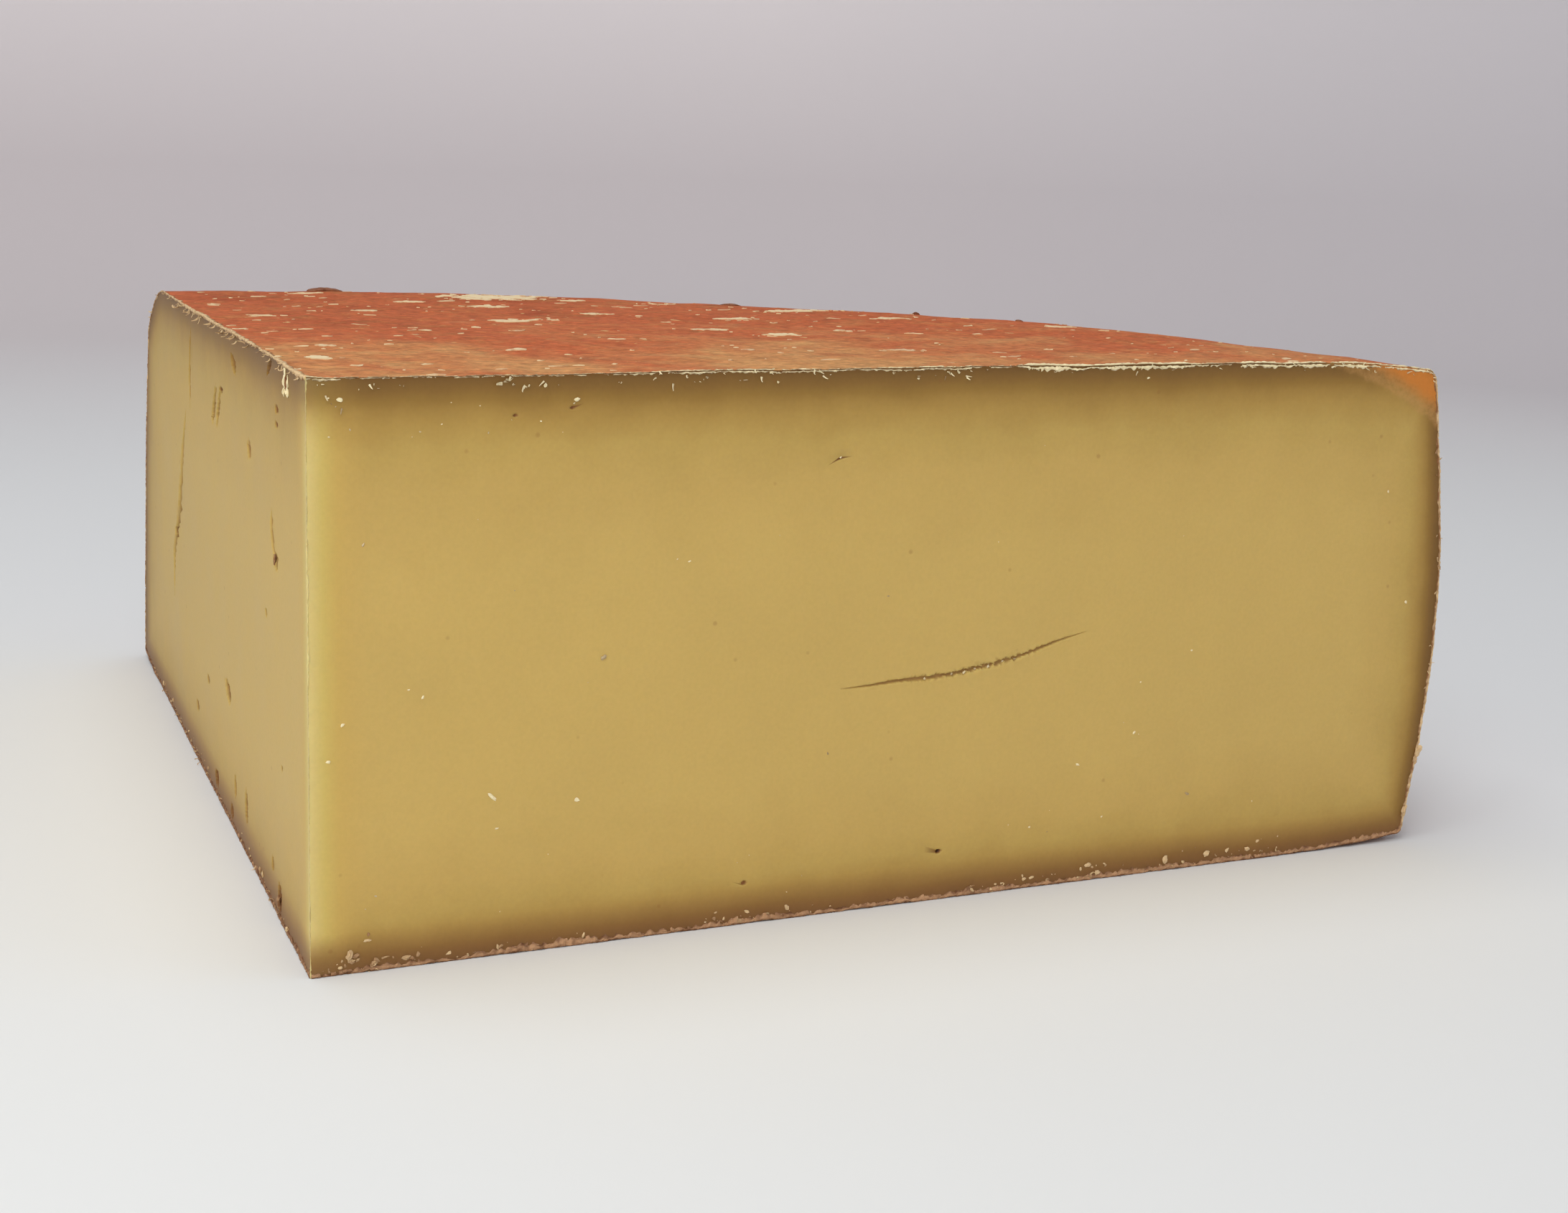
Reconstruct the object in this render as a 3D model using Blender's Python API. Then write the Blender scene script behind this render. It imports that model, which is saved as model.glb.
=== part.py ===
"""A cut quarter of a large washed-rind mountain cheese wheel, modelled as one solid.

The quarter stands on its flat underside.  Its tip, the wheel's old centre, is a vertical edge.
The front cut runs from the tip along +X, and the left cut turns CUT_ANGLE away from it.
The curved rind at the back is called the heel: it bellies out below its middle height, and it
leans in more and more towards the left cut, where the wheel sagged while it ripened.
The upper rind rolls over into the heel with a soft shoulder, and the lower rind lifts a little
near the rim.  Metres, +Z up, origin under the middle of the quarter's box.
"""

import math

import bmesh
import bpy
from mathutils import Vector

NODE = "cheese_quarter"

# Driving dimensions, in metres and radians.
HEIGHT = 0.120
CUT_ANGLE = math.radians(85.0)
FOOT_RADIUS = (0.2765, 0.2900, 0.3060)  # at the front cut, halfway round, at the left cut
RIM_RADIUS = (0.2750, 0.2840, 0.2770)  # the same three places, at the top
HEEL_BULGE = 0.0050
SHOULDER_RUN = 0.040  # how far in from the rim the upper rind starts to fall
SHOULDER_FALL = (0.0025, 0.0140)  # at the front cut, at the left cut
SHOULDER_GROWTH = 4  # the power that keeps the deep fall close to the left cut
FOOT_RUN = 0.040  # how far in from the rim the lower rind starts to lift
FOOT_LIFT = 0.0020

# How finely the solid is divided.
TURN_STEPS = 26
HEEL_STEPS = 14
EDGE_STEPS = 7
INNER_STEPS = 4
MERGE_DISTANCE = 0.00001

# The three stretches of the outline.
UNDERSIDE, HEEL, TOP = range(3)

RIND_COLOUR = (0.46, 0.20, 0.10, 1.0)
RIND_ROUGHNESS = 0.7


def clear_scene():
    """Remove every object, so that the script can be run again."""
    for old in list(bpy.data.objects):
        bpy.data.objects.remove(old, do_unlink=True)


def cheese_material():
    """The colour and the dull, waxy roughness of the cheese."""
    material = bpy.data.materials.new("washed_rind_cheese")
    material.use_nodes = True
    surface = material.node_tree.nodes["Principled BSDF"]
    surface.inputs["Base Color"].default_value = RIND_COLOUR
    surface.inputs["Roughness"].default_value = RIND_ROUGHNESS
    surface.inputs["Metallic"].default_value = 0.0
    return material


def through_three(values, turn):
    """The parabola through three values at turn 0, 0.5 and 1."""
    start, middle, end = values
    from_start = start * (1 - turn) * (1 - 2 * turn)
    from_middle = middle * 4 * turn * (1 - turn)
    from_end = end * turn * (2 * turn - 1)
    return from_start + from_middle + from_end


def heel_radius(turn, rise):
    """Distance from the tip to the heel.  Turn and rise both run from 0 to 1."""
    foot = through_three(FOOT_RADIUS, turn)
    rim = through_three(RIM_RADIUS, turn)
    return foot + (rim - foot) * rise + HEEL_BULGE * math.sin(math.pi * rise)


def edge_share(radius, rim, run):
    """0 as far out as the run begins, and then up to 1 at the rim."""
    return min(max((radius - rim + run) / run, 0.0), 1.0)


def top_height(turn, radius):
    """Height of the upper rind, which falls towards the rim."""
    least, most = SHOULDER_FALL
    fall = least + (most - least) * turn**SHOULDER_GROWTH
    return HEIGHT - fall * edge_share(radius, heel_radius(turn, 1.0), SHOULDER_RUN) ** 2


def underside_height(turn, radius):
    """Height of the lower rind, which is flat and lifts only near the rim."""
    return FOOT_LIFT * edge_share(radius, heel_radius(turn, 0.0), FOOT_RUN) ** 2


def place(side, share, turn):
    """Radius and height of a point of the outline on the section at this turn.

    The share is of the radius on the underside and on top, and of the height on the heel.
    """
    foot = heel_radius(turn, 0.0)
    rim = heel_radius(turn, 1.0)
    if side == UNDERSIDE:
        return share * foot, underside_height(turn, share * foot)
    if side == TOP:
        return share * rim, top_height(turn, share * rim)
    low = underside_height(turn, foot)
    high = top_height(turn, rim)
    return heel_radius(turn, share), low + (high - low) * share


def outline():
    """The section's outline as (side, share) pairs, from the tip's foot round to its top."""
    flat_share = 1 - FOOT_RUN / FOOT_RADIUS[0]
    shares = [flat_share * step / INNER_STEPS for step in range(INNER_STEPS)]
    shares += [flat_share + (1 - flat_share) * step / EDGE_STEPS for step in range(EDGE_STEPS)]
    underside = [(UNDERSIDE, share) for share in shares]
    heel = [(HEEL, step / HEEL_STEPS) for step in range(HEEL_STEPS + 1)]
    top = [(TOP, share) for share in reversed(shares)]
    return underside + heel + top


def spin_quarter():
    """Turn the front cut about the tip, and give each section its own radius and heights."""
    solid = bmesh.new()
    side_layer = solid.verts.layers.int.new("side")
    share_layer = solid.verts.layers.float.new("share")
    corners = []
    for side, share in outline():
        radius, height = place(side, share, 0.0)
        corner = solid.verts.new((radius, 0.0, height))
        corner[side_layer] = side
        corner[share_layer] = share
        corners.append(corner)
    cut_face = solid.faces.new(corners)
    bmesh.ops.spin(
        solid,
        geom=[cut_face, *cut_face.edges, *cut_face.verts],
        cent=(0.0, 0.0, 0.0),
        axis=(0.0, 0.0, 1.0),
        angle=CUT_ANGLE,
        steps=TURN_STEPS,
    )
    bmesh.ops.remove_doubles(solid, verts=solid.verts, dist=MERGE_DISTANCE)
    for vert in solid.verts:
        angle = math.atan2(vert.co.y, vert.co.x)
        radius, height = place(vert[side_layer], vert[share_layer], angle / CUT_ANGLE)
        vert.co = Vector((radius * math.cos(angle), radius * math.sin(angle), height))
    bmesh.ops.recalc_face_normals(solid, faces=solid.faces)
    return solid


def middle_of_box(solid):
    """The middle of the solid's box, as seen from above."""
    across = [vert.co.x for vert in solid.verts]
    along = [vert.co.y for vert in solid.verts]
    return Vector(((min(across) + max(across)) / 2, (min(along) + max(along)) / 2, 0.0))


def build_cheese():
    """Make the quarter's object and stand it over the origin."""
    solid = spin_quarter()
    offset = middle_of_box(solid)
    mesh = bpy.data.meshes.new(NODE)
    solid.to_mesh(mesh)
    solid.free()
    mesh.shade_smooth()
    mesh.set_sharp_from_angle(angle=math.radians(40))
    mesh.materials.append(cheese_material())
    cheese = bpy.data.objects.new(NODE, mesh)
    bpy.context.scene.collection.objects.link(cheese)
    cheese.location = -offset
    return cheese


clear_scene()
build_cheese()
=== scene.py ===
"""The looks of a cut quarter of a washed-rind mountain cheese wheel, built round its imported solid.

The quarter's form is turned again at a finer grain, its two cut faces get their crack, eyes and
drying bands, and its rind gets relief, dried smear flakes and torn edges where the wire came out.
Lengths whose names end in _mm are millimetres; all others are metres.
"""

import logging
import math
import random
from collections.abc import Callable, Sequence
from dataclasses import dataclass, field
from enum import Enum

import bmesh
import bpy
from mathutils import Matrix, Vector, noise


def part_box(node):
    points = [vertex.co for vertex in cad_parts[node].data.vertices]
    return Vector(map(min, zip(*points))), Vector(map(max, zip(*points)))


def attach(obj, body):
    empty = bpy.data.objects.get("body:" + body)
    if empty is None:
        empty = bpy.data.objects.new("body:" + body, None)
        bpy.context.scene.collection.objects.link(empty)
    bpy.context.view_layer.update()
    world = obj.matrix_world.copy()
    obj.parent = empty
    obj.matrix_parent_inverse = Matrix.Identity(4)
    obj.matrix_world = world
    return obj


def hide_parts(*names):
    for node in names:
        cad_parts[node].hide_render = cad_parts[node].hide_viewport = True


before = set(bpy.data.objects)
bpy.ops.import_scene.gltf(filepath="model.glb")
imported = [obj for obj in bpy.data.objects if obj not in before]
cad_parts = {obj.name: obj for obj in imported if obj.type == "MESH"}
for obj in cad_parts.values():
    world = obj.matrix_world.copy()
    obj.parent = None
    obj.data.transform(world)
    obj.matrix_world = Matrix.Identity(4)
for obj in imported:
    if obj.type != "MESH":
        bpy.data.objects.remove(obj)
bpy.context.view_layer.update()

LOG = logging.getLogger("cheese")
MM = 0.001
NODE = "cheese_quarter"
BODY = "root"
ABOVE_TABLE = 0.00005
FAR_OUTSIDE_MM = -10.0
CORNER_PULL = 0.29

Place = tuple[float, float]
Graph = bpy.types.NodeTree
Socket = bpy.types.NodeSocket


# ---------------------------------------------------------------------------------------------
# Small tools
# ---------------------------------------------------------------------------------------------


def linear(hex_colour: str) -> tuple[float, float, float, float]:
    """Turn an sRGB hex colour into the linear values that a shader socket takes.

    Args:
        hex_colour: A colour such as "#BC9E5B".

    Returns:
        Red, green, blue and an alpha of 1, all linear.
    """
    channels = [int(hex_colour[start : start + 2], 16) / 255 for start in (1, 3, 5)]
    bright = [c / 12.92 if c <= 0.04045 else ((c + 0.055) / 1.055) ** 2.4 for c in channels]
    return bright[0], bright[1], bright[2], 1.0


def mixed(low: float, high: float, share: float) -> float:
    """The value that lies this share of the way from low to high."""
    return low + (high - low) * share


def smooth(low: float, high: float, value: float) -> float:
    """A soft step from 0 at low to 1 at high."""
    share = min(max((value - low) / (high - low), 0.0), 1.0)
    return share * share * (3 - 2 * share)


def grain(point: Vector, size_mm: float, seed: int) -> float:
    """Smooth noise from about -1 to 1 whose lumps are about size_mm across.

    Args:
        point: Where to read it, in metres.
        size_mm: The size of one lump.
        seed: Picks one of many unlike fields.

    Returns:
        The noise there.
    """
    return noise.noise(point / (size_mm * MM) + Vector((17.3, 5.1, 9.7)) * seed)


def add_node(
    tree: Graph,
    kind: str,
    settings: dict[str | int, object] | None = None,
    links: dict[str | int, Socket] | None = None,
) -> bpy.types.Node:
    """Add one shader node, set its properties and socket values, and link its inputs.

    Args:
        tree: The material's node tree.
        kind: The node's type name.
        settings: Values by property name, or by input name or number.
        links: Output sockets to link, by input name or number.

    Returns:
        The new node.
    """
    node = tree.nodes.new(kind)
    for name, value in (settings or {}).items():
        if isinstance(name, str) and hasattr(node, name):
            setattr(node, name, value)
        else:
            node.inputs[name].default_value = value
    for name, source in (links or {}).items():
        tree.links.new(source, node.inputs[name])
    return node


def attribute(tree: Graph, name: str) -> Socket:
    """Read one of the values that the mesh's points carry."""
    return add_node(tree, "ShaderNodeAttribute", {"attribute_name": name}).outputs["Fac"]


def object_place(tree: Graph) -> Socket:
    """The place in the object's own frame, at which patterns are read."""
    return add_node(tree, "ShaderNodeTexCoord").outputs["Object"]


def speckle(
    tree: Graph,
    where: Socket,
    lump_mm: float,
    detail: float,
    roughness: float = 0.5,
    distortion: float = 0.0,
) -> Socket:
    """Add noise whose lumps have a real size.

    Args:
        tree: The material's tree.
        where: The place to read it at.
        lump_mm: The size of its broadest lumps.
        detail: How many finer layers it has.
        roughness: How strong the finer layers are.
        distortion: How far the lumps are drawn out of round.

    Returns:
        The noise, from 0 to 1.
    """
    settings = {"Scale": 1 / (lump_mm * MM), "Detail": detail}
    settings |= {"Roughness": roughness, "Distortion": distortion}
    return add_node(tree, "ShaderNodeTexNoise", settings, {"Vector": where}).outputs["Fac"]


def worked_out(tree: Graph, operation: str, *values: Socket | float, clamp: bool = False) -> Socket:
    """Work out one value from others.

    Args:
        tree: The material's tree.
        operation: What is done with them.
        values: Sockets or plain numbers, in the order that the operation takes them.
        clamp: Whether the result is held between 0 and 1.

    Returns:
        The result.
    """
    settings = {"operation": operation, "use_clamp": clamp}
    links = {}
    for number, value in enumerate(values):
        (links if isinstance(value, Socket) else settings)[number] = value
    return add_node(tree, "ShaderNodeMath", settings, links).outputs[0]


def ranged(
    tree: Graph, value: Socket, start: Place, end: Place = (0.0, 1.0), *, soft: bool = False
) -> Socket:
    """Map a value from one range to another and hold it at the ends.

    Args:
        tree: The material's tree.
        value: The value.
        start: The range that it comes from.
        end: The range that it goes to.
        soft: Whether it leaves and reaches the ends gently.

    Returns:
        The mapped value.
    """
    settings = {"interpolation_type": "SMOOTHSTEP" if soft else "LINEAR"}
    settings |= dict(enumerate((*start, *end), start=1))
    return add_node(tree, "ShaderNodeMapRange", settings, {0: value}).outputs[0]


def tinted(tree: Graph, base: Socket, colour: str, share: Socket) -> Socket:
    """Lay a hex colour over a base colour, as strongly as the share says."""
    return add_node(
        tree, "ShaderNodeMix", {"data_type": "RGBA", 7: linear(colour)}, {0: share, 6: base}
    ).outputs[2]


def dimmed(tree: Graph, base: Socket, level: Socket) -> Socket:
    """Multiply a colour by a grey level."""
    settings = {"data_type": "RGBA", "blend_type": "MULTIPLY", 0: 1.0}
    return add_node(tree, "ShaderNodeMix", settings, {6: base, 7: level}).outputs[2]


def bumped(
    tree: Graph, height: Socket, strength: float, distance_mm: float, normal: Socket | None = None
) -> Socket:
    """Bend the surface's normal over the slopes of a height.

    Args:
        tree: The material's tree.
        height: The height, from 0 to 1.
        strength: How much of the bend shows.
        distance_mm: How far a height of 1 stands out.
        normal: A normal that is bent already.

    Returns:
        The bent normal.
    """
    links = {"Height": height} | ({"Normal": normal} if normal else {})
    settings = {"Strength": strength, "Distance": distance_mm * MM}
    return add_node(tree, "ShaderNodeBump", settings, links).outputs[0]


def coloured(tree: Graph, share: Socket, stops: Sequence[tuple[float, str]]) -> Socket:
    """Turn a share from 0 to 1 into a colour.

    Args:
        tree: The material's tree.
        share: The share.
        stops: Positions from 0 to 1 in rising order, each with a hex colour.

    Returns:
        The colour.
    """
    ramp = add_node(tree, "ShaderNodeValToRGB", links={0: share})
    set_stops(ramp, stops)
    return ramp.outputs[0]


def set_stops(ramp_node: bpy.types.Node, stops: Sequence[tuple[float, str]]) -> None:
    """Give a colour ramp its stops.

    Args:
        ramp_node: A colour ramp node.
        stops: Positions from 0 to 1 in rising order, each with a hex colour.
    """
    elements = ramp_node.color_ramp.elements
    while len(elements) < len(stops):
        elements.new(1.0)
    for element, (position, colour) in zip(elements, stops, strict=True):
        element.position = position
        element.color = linear(colour)


def new_material(name: str) -> tuple[bpy.types.Material, Graph, bpy.types.Node]:
    """Make an empty node material.

    Args:
        name: The material's name, which says what it really is.

    Returns:
        The material, its tree and its Principled node.
    """
    material = bpy.data.materials.new(name)
    material.use_nodes = True
    tree = material.node_tree
    return material, tree, tree.nodes["Principled BSDF"]


def publish(
    mesh: bmesh.types.BMesh, name: str, materials: Sequence[bpy.types.Material]
) -> bpy.types.Object:
    """Turn a finished bmesh into a piece of the cheese that rides on its body.

    Args:
        mesh: The geometry, already in place. It is freed.
        name: The piece's name.
        materials: Its materials, in the order of the faces' material numbers.

    Returns:
        The piece.
    """
    data = bpy.data.meshes.new(name)
    mesh.to_mesh(data)
    mesh.free()
    for material in materials:
        data.materials.append(material)
    piece = bpy.data.objects.new(name, data)
    bpy.context.scene.collection.objects.link(piece)
    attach(piece, BODY)
    LOG.info("%s: %d faces", name, len(data.polygons))
    return piece


# ---------------------------------------------------------------------------------------------
# The form that everything is laid on
# ---------------------------------------------------------------------------------------------


class Zone(Enum):
    """The stretches of the quarter's skin."""

    FRONT = 0
    LEFT = 1
    TOP = 2
    HEEL = 3
    FOOT = 4


@dataclass(frozen=True)
class Quarter:
    """The quarter's form, with its tip's foot at the zero of its own frame.

    A turn of 0 is the front cut and 1 the left cut. A rise of 0 is the foot and 1 the top.
    """

    tip: Vector
    height: float
    cut_angle: float = math.radians(85.0)
    foot_radius: tuple[float, float, float] = (0.2765, 0.2900, 0.3060)
    rim_radius: tuple[float, float, float] = (0.2750, 0.2840, 0.2770)
    heel_bulge: float = 0.0050
    shoulder_run: float = 0.040
    shoulder_fall: tuple[float, float] = (0.0025, 0.0140)
    shoulder_growth: int = 4
    foot_run: float = 0.040
    foot_lift: float = 0.0020
    rim_round_mm: float = 2.8
    foot_round_mm: float = 2.4

    @staticmethod
    def through_three(values: tuple[float, float, float], turn: float) -> float:
        """The parabola through three values at turn 0, 0.5 and 1."""
        start, middle, end = values
        outer = start * (1 - turn) * (1 - 2 * turn) + end * turn * (2 * turn - 1)
        return outer + middle * 4 * turn * (1 - turn)

    def heel_radius(self, turn: float, rise: float) -> float:
        """Distance from the tip to the heel."""
        foot = self.through_three(self.foot_radius, turn)
        rim = self.through_three(self.rim_radius, turn)
        return mixed(foot, rim, rise) + self.heel_bulge * math.sin(math.pi * rise)

    def top_height(self, turn: float, radius: float) -> float:
        """Height of the upper rind, which falls towards the rim."""
        fall = mixed(*self.shoulder_fall, turn**self.shoulder_growth)
        inner = self.heel_radius(turn, 1.0) - self.shoulder_run
        share = min(max((radius - inner) / self.shoulder_run, 0.0), 1.0)
        return self.height - fall * share**2

    def foot_height(self, turn: float, radius: float) -> float:
        """Height of the lower rind, which lifts a little near the rim."""
        inner = self.heel_radius(turn, 0.0) - self.foot_run
        share = min(max((radius - inner) / self.foot_run, 0.0), 1.0)
        return self.foot_lift * share**2

    def section_point(self, turn: float, share: float, rise: float) -> Vector:
        """A point of the upright section at this turn.

        Args:
            turn: Which section.
            share: How far out, from the tip at 0 to the heel at 1.
            rise: How far up.

        Returns:
            The point, in the quarter's own frame.
        """
        radius = share * self.heel_radius(turn, rise)
        low = self.foot_height(turn, share * self.heel_radius(turn, 0.0))
        high = self.top_height(turn, share * self.heel_radius(turn, 1.0))
        angle = turn * self.cut_angle
        return Vector((radius * math.cos(angle), radius * math.sin(angle), mixed(low, high, rise)))

    def turn_of(self, point: Vector) -> float:
        """Which section a point lies on."""
        return min(max(math.atan2(point.y, point.x) / self.cut_angle, 0.0), 1.0)

    def out_of(self, zone: Zone, point: Vector) -> Vector:
        """The way out of the cheese there, left of the small slopes of the rind."""
        if zone is Zone.FRONT:
            return Vector((0.0, -1.0, 0.0))
        if zone is Zone.LEFT:
            return Vector((-math.sin(self.cut_angle), math.cos(self.cut_angle), 0.0))
        if zone is Zone.TOP:
            return Vector((0.0, 0.0, 1.0))
        if zone is Zone.FOOT:
            return Vector((0.0, 0.0, -1.0))
        return Vector((point.x, point.y, 0.0)).normalized()

    def on_cut(self, zone: Zone, along_mm: float, up_mm: float) -> Vector:
        """A point of a cut face, given from the tip along the cut and up from the table."""
        angle = self.cut_angle if zone is Zone.LEFT else 0.0
        along = along_mm * MM
        return Vector((along * math.cos(angle), along * math.sin(angle), up_mm * MM))

    def cut_place(self, point: Vector) -> Place:
        """How far along a cut, and how far up, a point lies, in millimetres."""
        return math.hypot(point.x, point.y) / MM, point.z / MM

    def relief(self, zone: Zone, point: Vector) -> float:
        """How far the real skin stands out of the plain form, in metres."""
        if zone in (Zone.FRONT, Zone.LEFT):
            return (0.16 * grain(point, 55, 3) + 0.05 * grain(point, 9, 4)) * MM
        broad = grain(point, 62, 5)
        lumps = grain(point, 15, 6)
        pits = grain(point, 4.2, 7)
        if zone is Zone.FOOT:
            return -abs(0.35 * lumps + 0.2 * pits) * MM
        if zone is Zone.TOP:
            return (0.55 * broad + 0.28 * lumps + 0.13 * pits) * MM
        return (1.1 * broad + 0.45 * lumps + 0.16 * pits) * MM

    def depths_mm(self, point: Vector, turn: float) -> tuple[float, float, float]:
        """How deep a point lies below the upper rind, above the lower one and within the heel."""
        radius = point.xy.length
        rise = point.z / self.height
        return (
            (self.top_height(turn, radius) - point.z) / MM,
            (point.z - self.foot_height(turn, radius)) / MM,
            (self.heel_radius(turn, rise) - radius) / MM,
        )

    def rounded(self, point: Vector, depths: tuple[float, float, float]) -> Vector:
        """Pull a point in and away from the nearest rim, so that the rim is a soft corner."""
        below_top, above_foot, within = depths
        moved = point.copy()
        outward = Vector((point.x, point.y, 0.0)).normalized()
        corners = ((below_top, self.rim_round_mm, 1.0), (above_foot, self.foot_round_mm, -1.0))
        for depth, reach, up in corners:
            if depth < reach and within < reach:
                nearness = (1 - max(depth, 0.0) / reach) ** 2 * (1 - max(within, 0.0) / reach) ** 2
                moved -= (outward + Vector((0, 0, up))) * CORNER_PULL * reach * nearness * MM
        return moved

    def skin_point(self, turn: float, share: float, rise: float, zones: Sequence[Zone]) -> Vector:
        """A point of the real skin, with its rounded rims and its relief.

        Args:
            turn: Which section.
            share: How far out.
            rise: How far up.
            zones: The stretches of skin that meet there.

        Returns:
            The point, in the quarter's own frame.
        """
        plain = self.section_point(turn, share, rise)
        moved = self.rounded(plain, self.depths_mm(plain, turn))
        for zone in zones:
            moved += self.out_of(zone, plain) * self.relief(zone, plain)
        moved.z = max(moved.z, 0.0)
        return moved

    def rim_point(self, cut: Zone, side: Zone, along: float) -> Vector:
        """A point of the rim between a cut and another stretch of skin.

        Args:
            cut: The cut.
            side: The other stretch. The left cut stands for the tip's edge.
            along: The share of the rim's length.

        Returns:
            The point, in the quarter's own frame.
        """
        turn = 1.0 if cut is Zone.LEFT else 0.0
        share, rise = {
            Zone.TOP: (along, 1.0),
            Zone.FOOT: (along, 0.0),
            Zone.HEEL: (1.0, along),
            Zone.LEFT: (0.0, along),
        }[side]
        return self.skin_point(turn, share, rise, (cut, side))

    def rim_length_mm(self, cut: Zone, side: Zone) -> float:
        """How far apart the two ends of a rim lie."""
        return (self.rim_point(cut, side, 1.0) - self.rim_point(cut, side, 0.0)).length / MM

    def on_top(self, x_mm: float, y_mm: float, above_mm: float = 0.0) -> Vector:
        """A point of the real upper rind, or a little above it."""
        point = Vector((x_mm * MM, y_mm * MM, 0.0))
        turn = self.turn_of(point)
        point.z = self.top_height(turn, point.length)
        moved = self.rounded(point, self.depths_mm(point, turn))
        return moved + Vector((0, 0, self.relief(Zone.TOP, point) + above_mm * MM))


# ---------------------------------------------------------------------------------------------
# Flaws of the cut faces
# ---------------------------------------------------------------------------------------------


@dataclass(frozen=True)
class Fissure:
    """An open crack: a line on a cut face, how wide it gapes, how deep it goes and how strong the painted
    shade in it is.
    """

    cut: Zone
    line: tuple[Place, ...]
    gape_mm: float
    depth_mm: float
    ragged: float = 0.4
    painted_shade: float = 1.0
    seed: int = 1
    grain_mm: float = 0.3

    def box(self) -> tuple[float, float, float, float]:
        """The stretch along the cut, and then up it, that the fissure may reach."""
        margin = self.gape_mm * 3 + 2
        along, up = zip(*self.line, strict=True)
        return min(along) - margin, max(along) + margin, min(up) - margin, max(up) + margin

    def nearest(self, place: Place) -> tuple[float, float]:
        """The distance to the line and the share of the line reached there."""
        here = Vector(place)
        best, reached, done = 1e9, 0.0, 0.0
        for start, end in zip(self.line, self.line[1:]):
            a, b = Vector(start), Vector(end)
            step = (b - a).length
            share = min(max((here - a).dot(b - a) / step**2, 0.0), 1.0)
            distance = (here - a.lerp(b, share)).length
            if distance < best:
                best, reached = distance, done + share * step
            done += step
        return best, reached / done

    def reach_mm(self) -> float:
        """How far from the line the fissure still shapes the face."""
        return self.gape_mm * 2.2

    def distance(self, place: Place) -> float:
        """How far a place lies from the fissure."""
        return self.nearest(place)[0]

    def dent(self, place: Place) -> tuple[float, float]:
        """How far the face sinks at a place, in millimetres, and how strong the painted shade in the
        crevice is, 0 to 1.
        """
        distance, share = self.nearest(place)
        if distance > self.reach_mm():
            return 0.0, 0.0
        here = Vector((place[0], place[1], self.seed * 7.7))
        open_share = math.sin(math.pi * share) ** 0.7
        torn = self.ragged * (0.35 + 0.65 * smooth(0.3, 0.45, share) * smooth(0.85, 0.7, share))
        rough = 1 + torn * (noise.noise(here * 0.9) + 1.1 * noise.noise(here * 2.3))
        half = max(self.gape_mm * open_share * rough, 0.02)
        inside = 1 - smooth(0.35 * half, 1.15 * half, distance)
        lip = 0.2 * smooth(half * 2.2, half * 1.1, distance) * (1 - inside) * open_share
        # Painted shade, strongest where the crack gapes widest.
        dark = inside * min(1.0, open_share * 1.6) * self.painted_shade
        return inside * self.depth_mm * open_share**0.5 - lip, dark


@dataclass(frozen=True)
class Eye:
    """A small hole of the paste, round or slit-like, that the cut has opened, with painted shade in it."""

    cut: Zone
    along_mm: float
    up_mm: float
    half_width_mm: float
    half_height_mm: float
    depth_mm: float = 2.0
    lean: float = 0.0
    painted_shade: float = 1.0
    grain_mm: float = 0.35

    def box(self) -> tuple[float, float, float, float]:
        """The stretch along the cut, and then up it, that the eye may reach."""
        margin = max(self.half_width_mm, self.half_height_mm) * 2.2
        return self.along_mm - margin, self.along_mm + margin, self.up_mm - margin, self.up_mm + margin

    def level(self, place: Place) -> float:
        """0 at the eye's middle, 1 on its ragged rim and more outside."""
        away = Vector((place[0] - self.along_mm, place[1] - self.up_mm))
        away.x -= away.y * self.lean
        size = Vector((away.x / self.half_width_mm, away.y / self.half_height_mm)).length
        here = Vector((place[0], place[1], self.along_mm))
        return size * (1 + 0.28 * noise.noise(here * 0.8) + 0.18 * noise.noise(here * 2.1))

    def distance(self, place: Place) -> float:
        """How far a place lies from the eye, a little more than 0 within it."""
        return max(self.level(place) - 1.0, 0.0) * min(self.half_width_mm, self.half_height_mm)

    def dent(self, place: Place) -> tuple[float, float]:
        """How far the face sinks at a place, in millimetres, and how strong the painted shade in the
        crevice is, 0 to 1.
        """
        inside = 1 - smooth(0.55, 1.04, self.level(place))
        # Painted shade, strongest in the eye's middle.
        return inside * self.depth_mm, inside * self.painted_shade


FRONT_CRACK = Fissure(
    Zone.FRONT,
    (
        (116.5, 50.6), (124, 50.9), (131, 51.5), (138, 51.6), (146, 52.2),
        (154, 53.4), (162, 54.9), (171, 57.6), (180, 59.6),
    ),
    gape_mm=0.62,
    depth_mm=0.6,
    ragged=1.0,
    painted_shade=0.3,
    grain_mm=0.2,
)
LEFT_CRACK = Fissure(
    Zone.LEFT,
    ((189, 92), (198, 79), (202.5, 70), (208, 61), (214, 55), (220.5, 49), (222.5, 41), (223, 35)),
    gape_mm=2.0,
    depth_mm=3.0,
    ragged=0.15,
    seed=3,
)
LEFT_HAIRLINE = Fissure(
    Zone.LEFT, ((175.5, 115), (178, 106), (180, 93)), gape_mm=1.15, depth_mm=1.4, ragged=0.2, seed=4
)
BOOT_HOLE = Fissure(
    Zone.LEFT, ((44, 88), (42.5, 82.5), (38.5, 78)), gape_mm=1.5, depth_mm=1.8, ragged=0.3, seed=5
)

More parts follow.
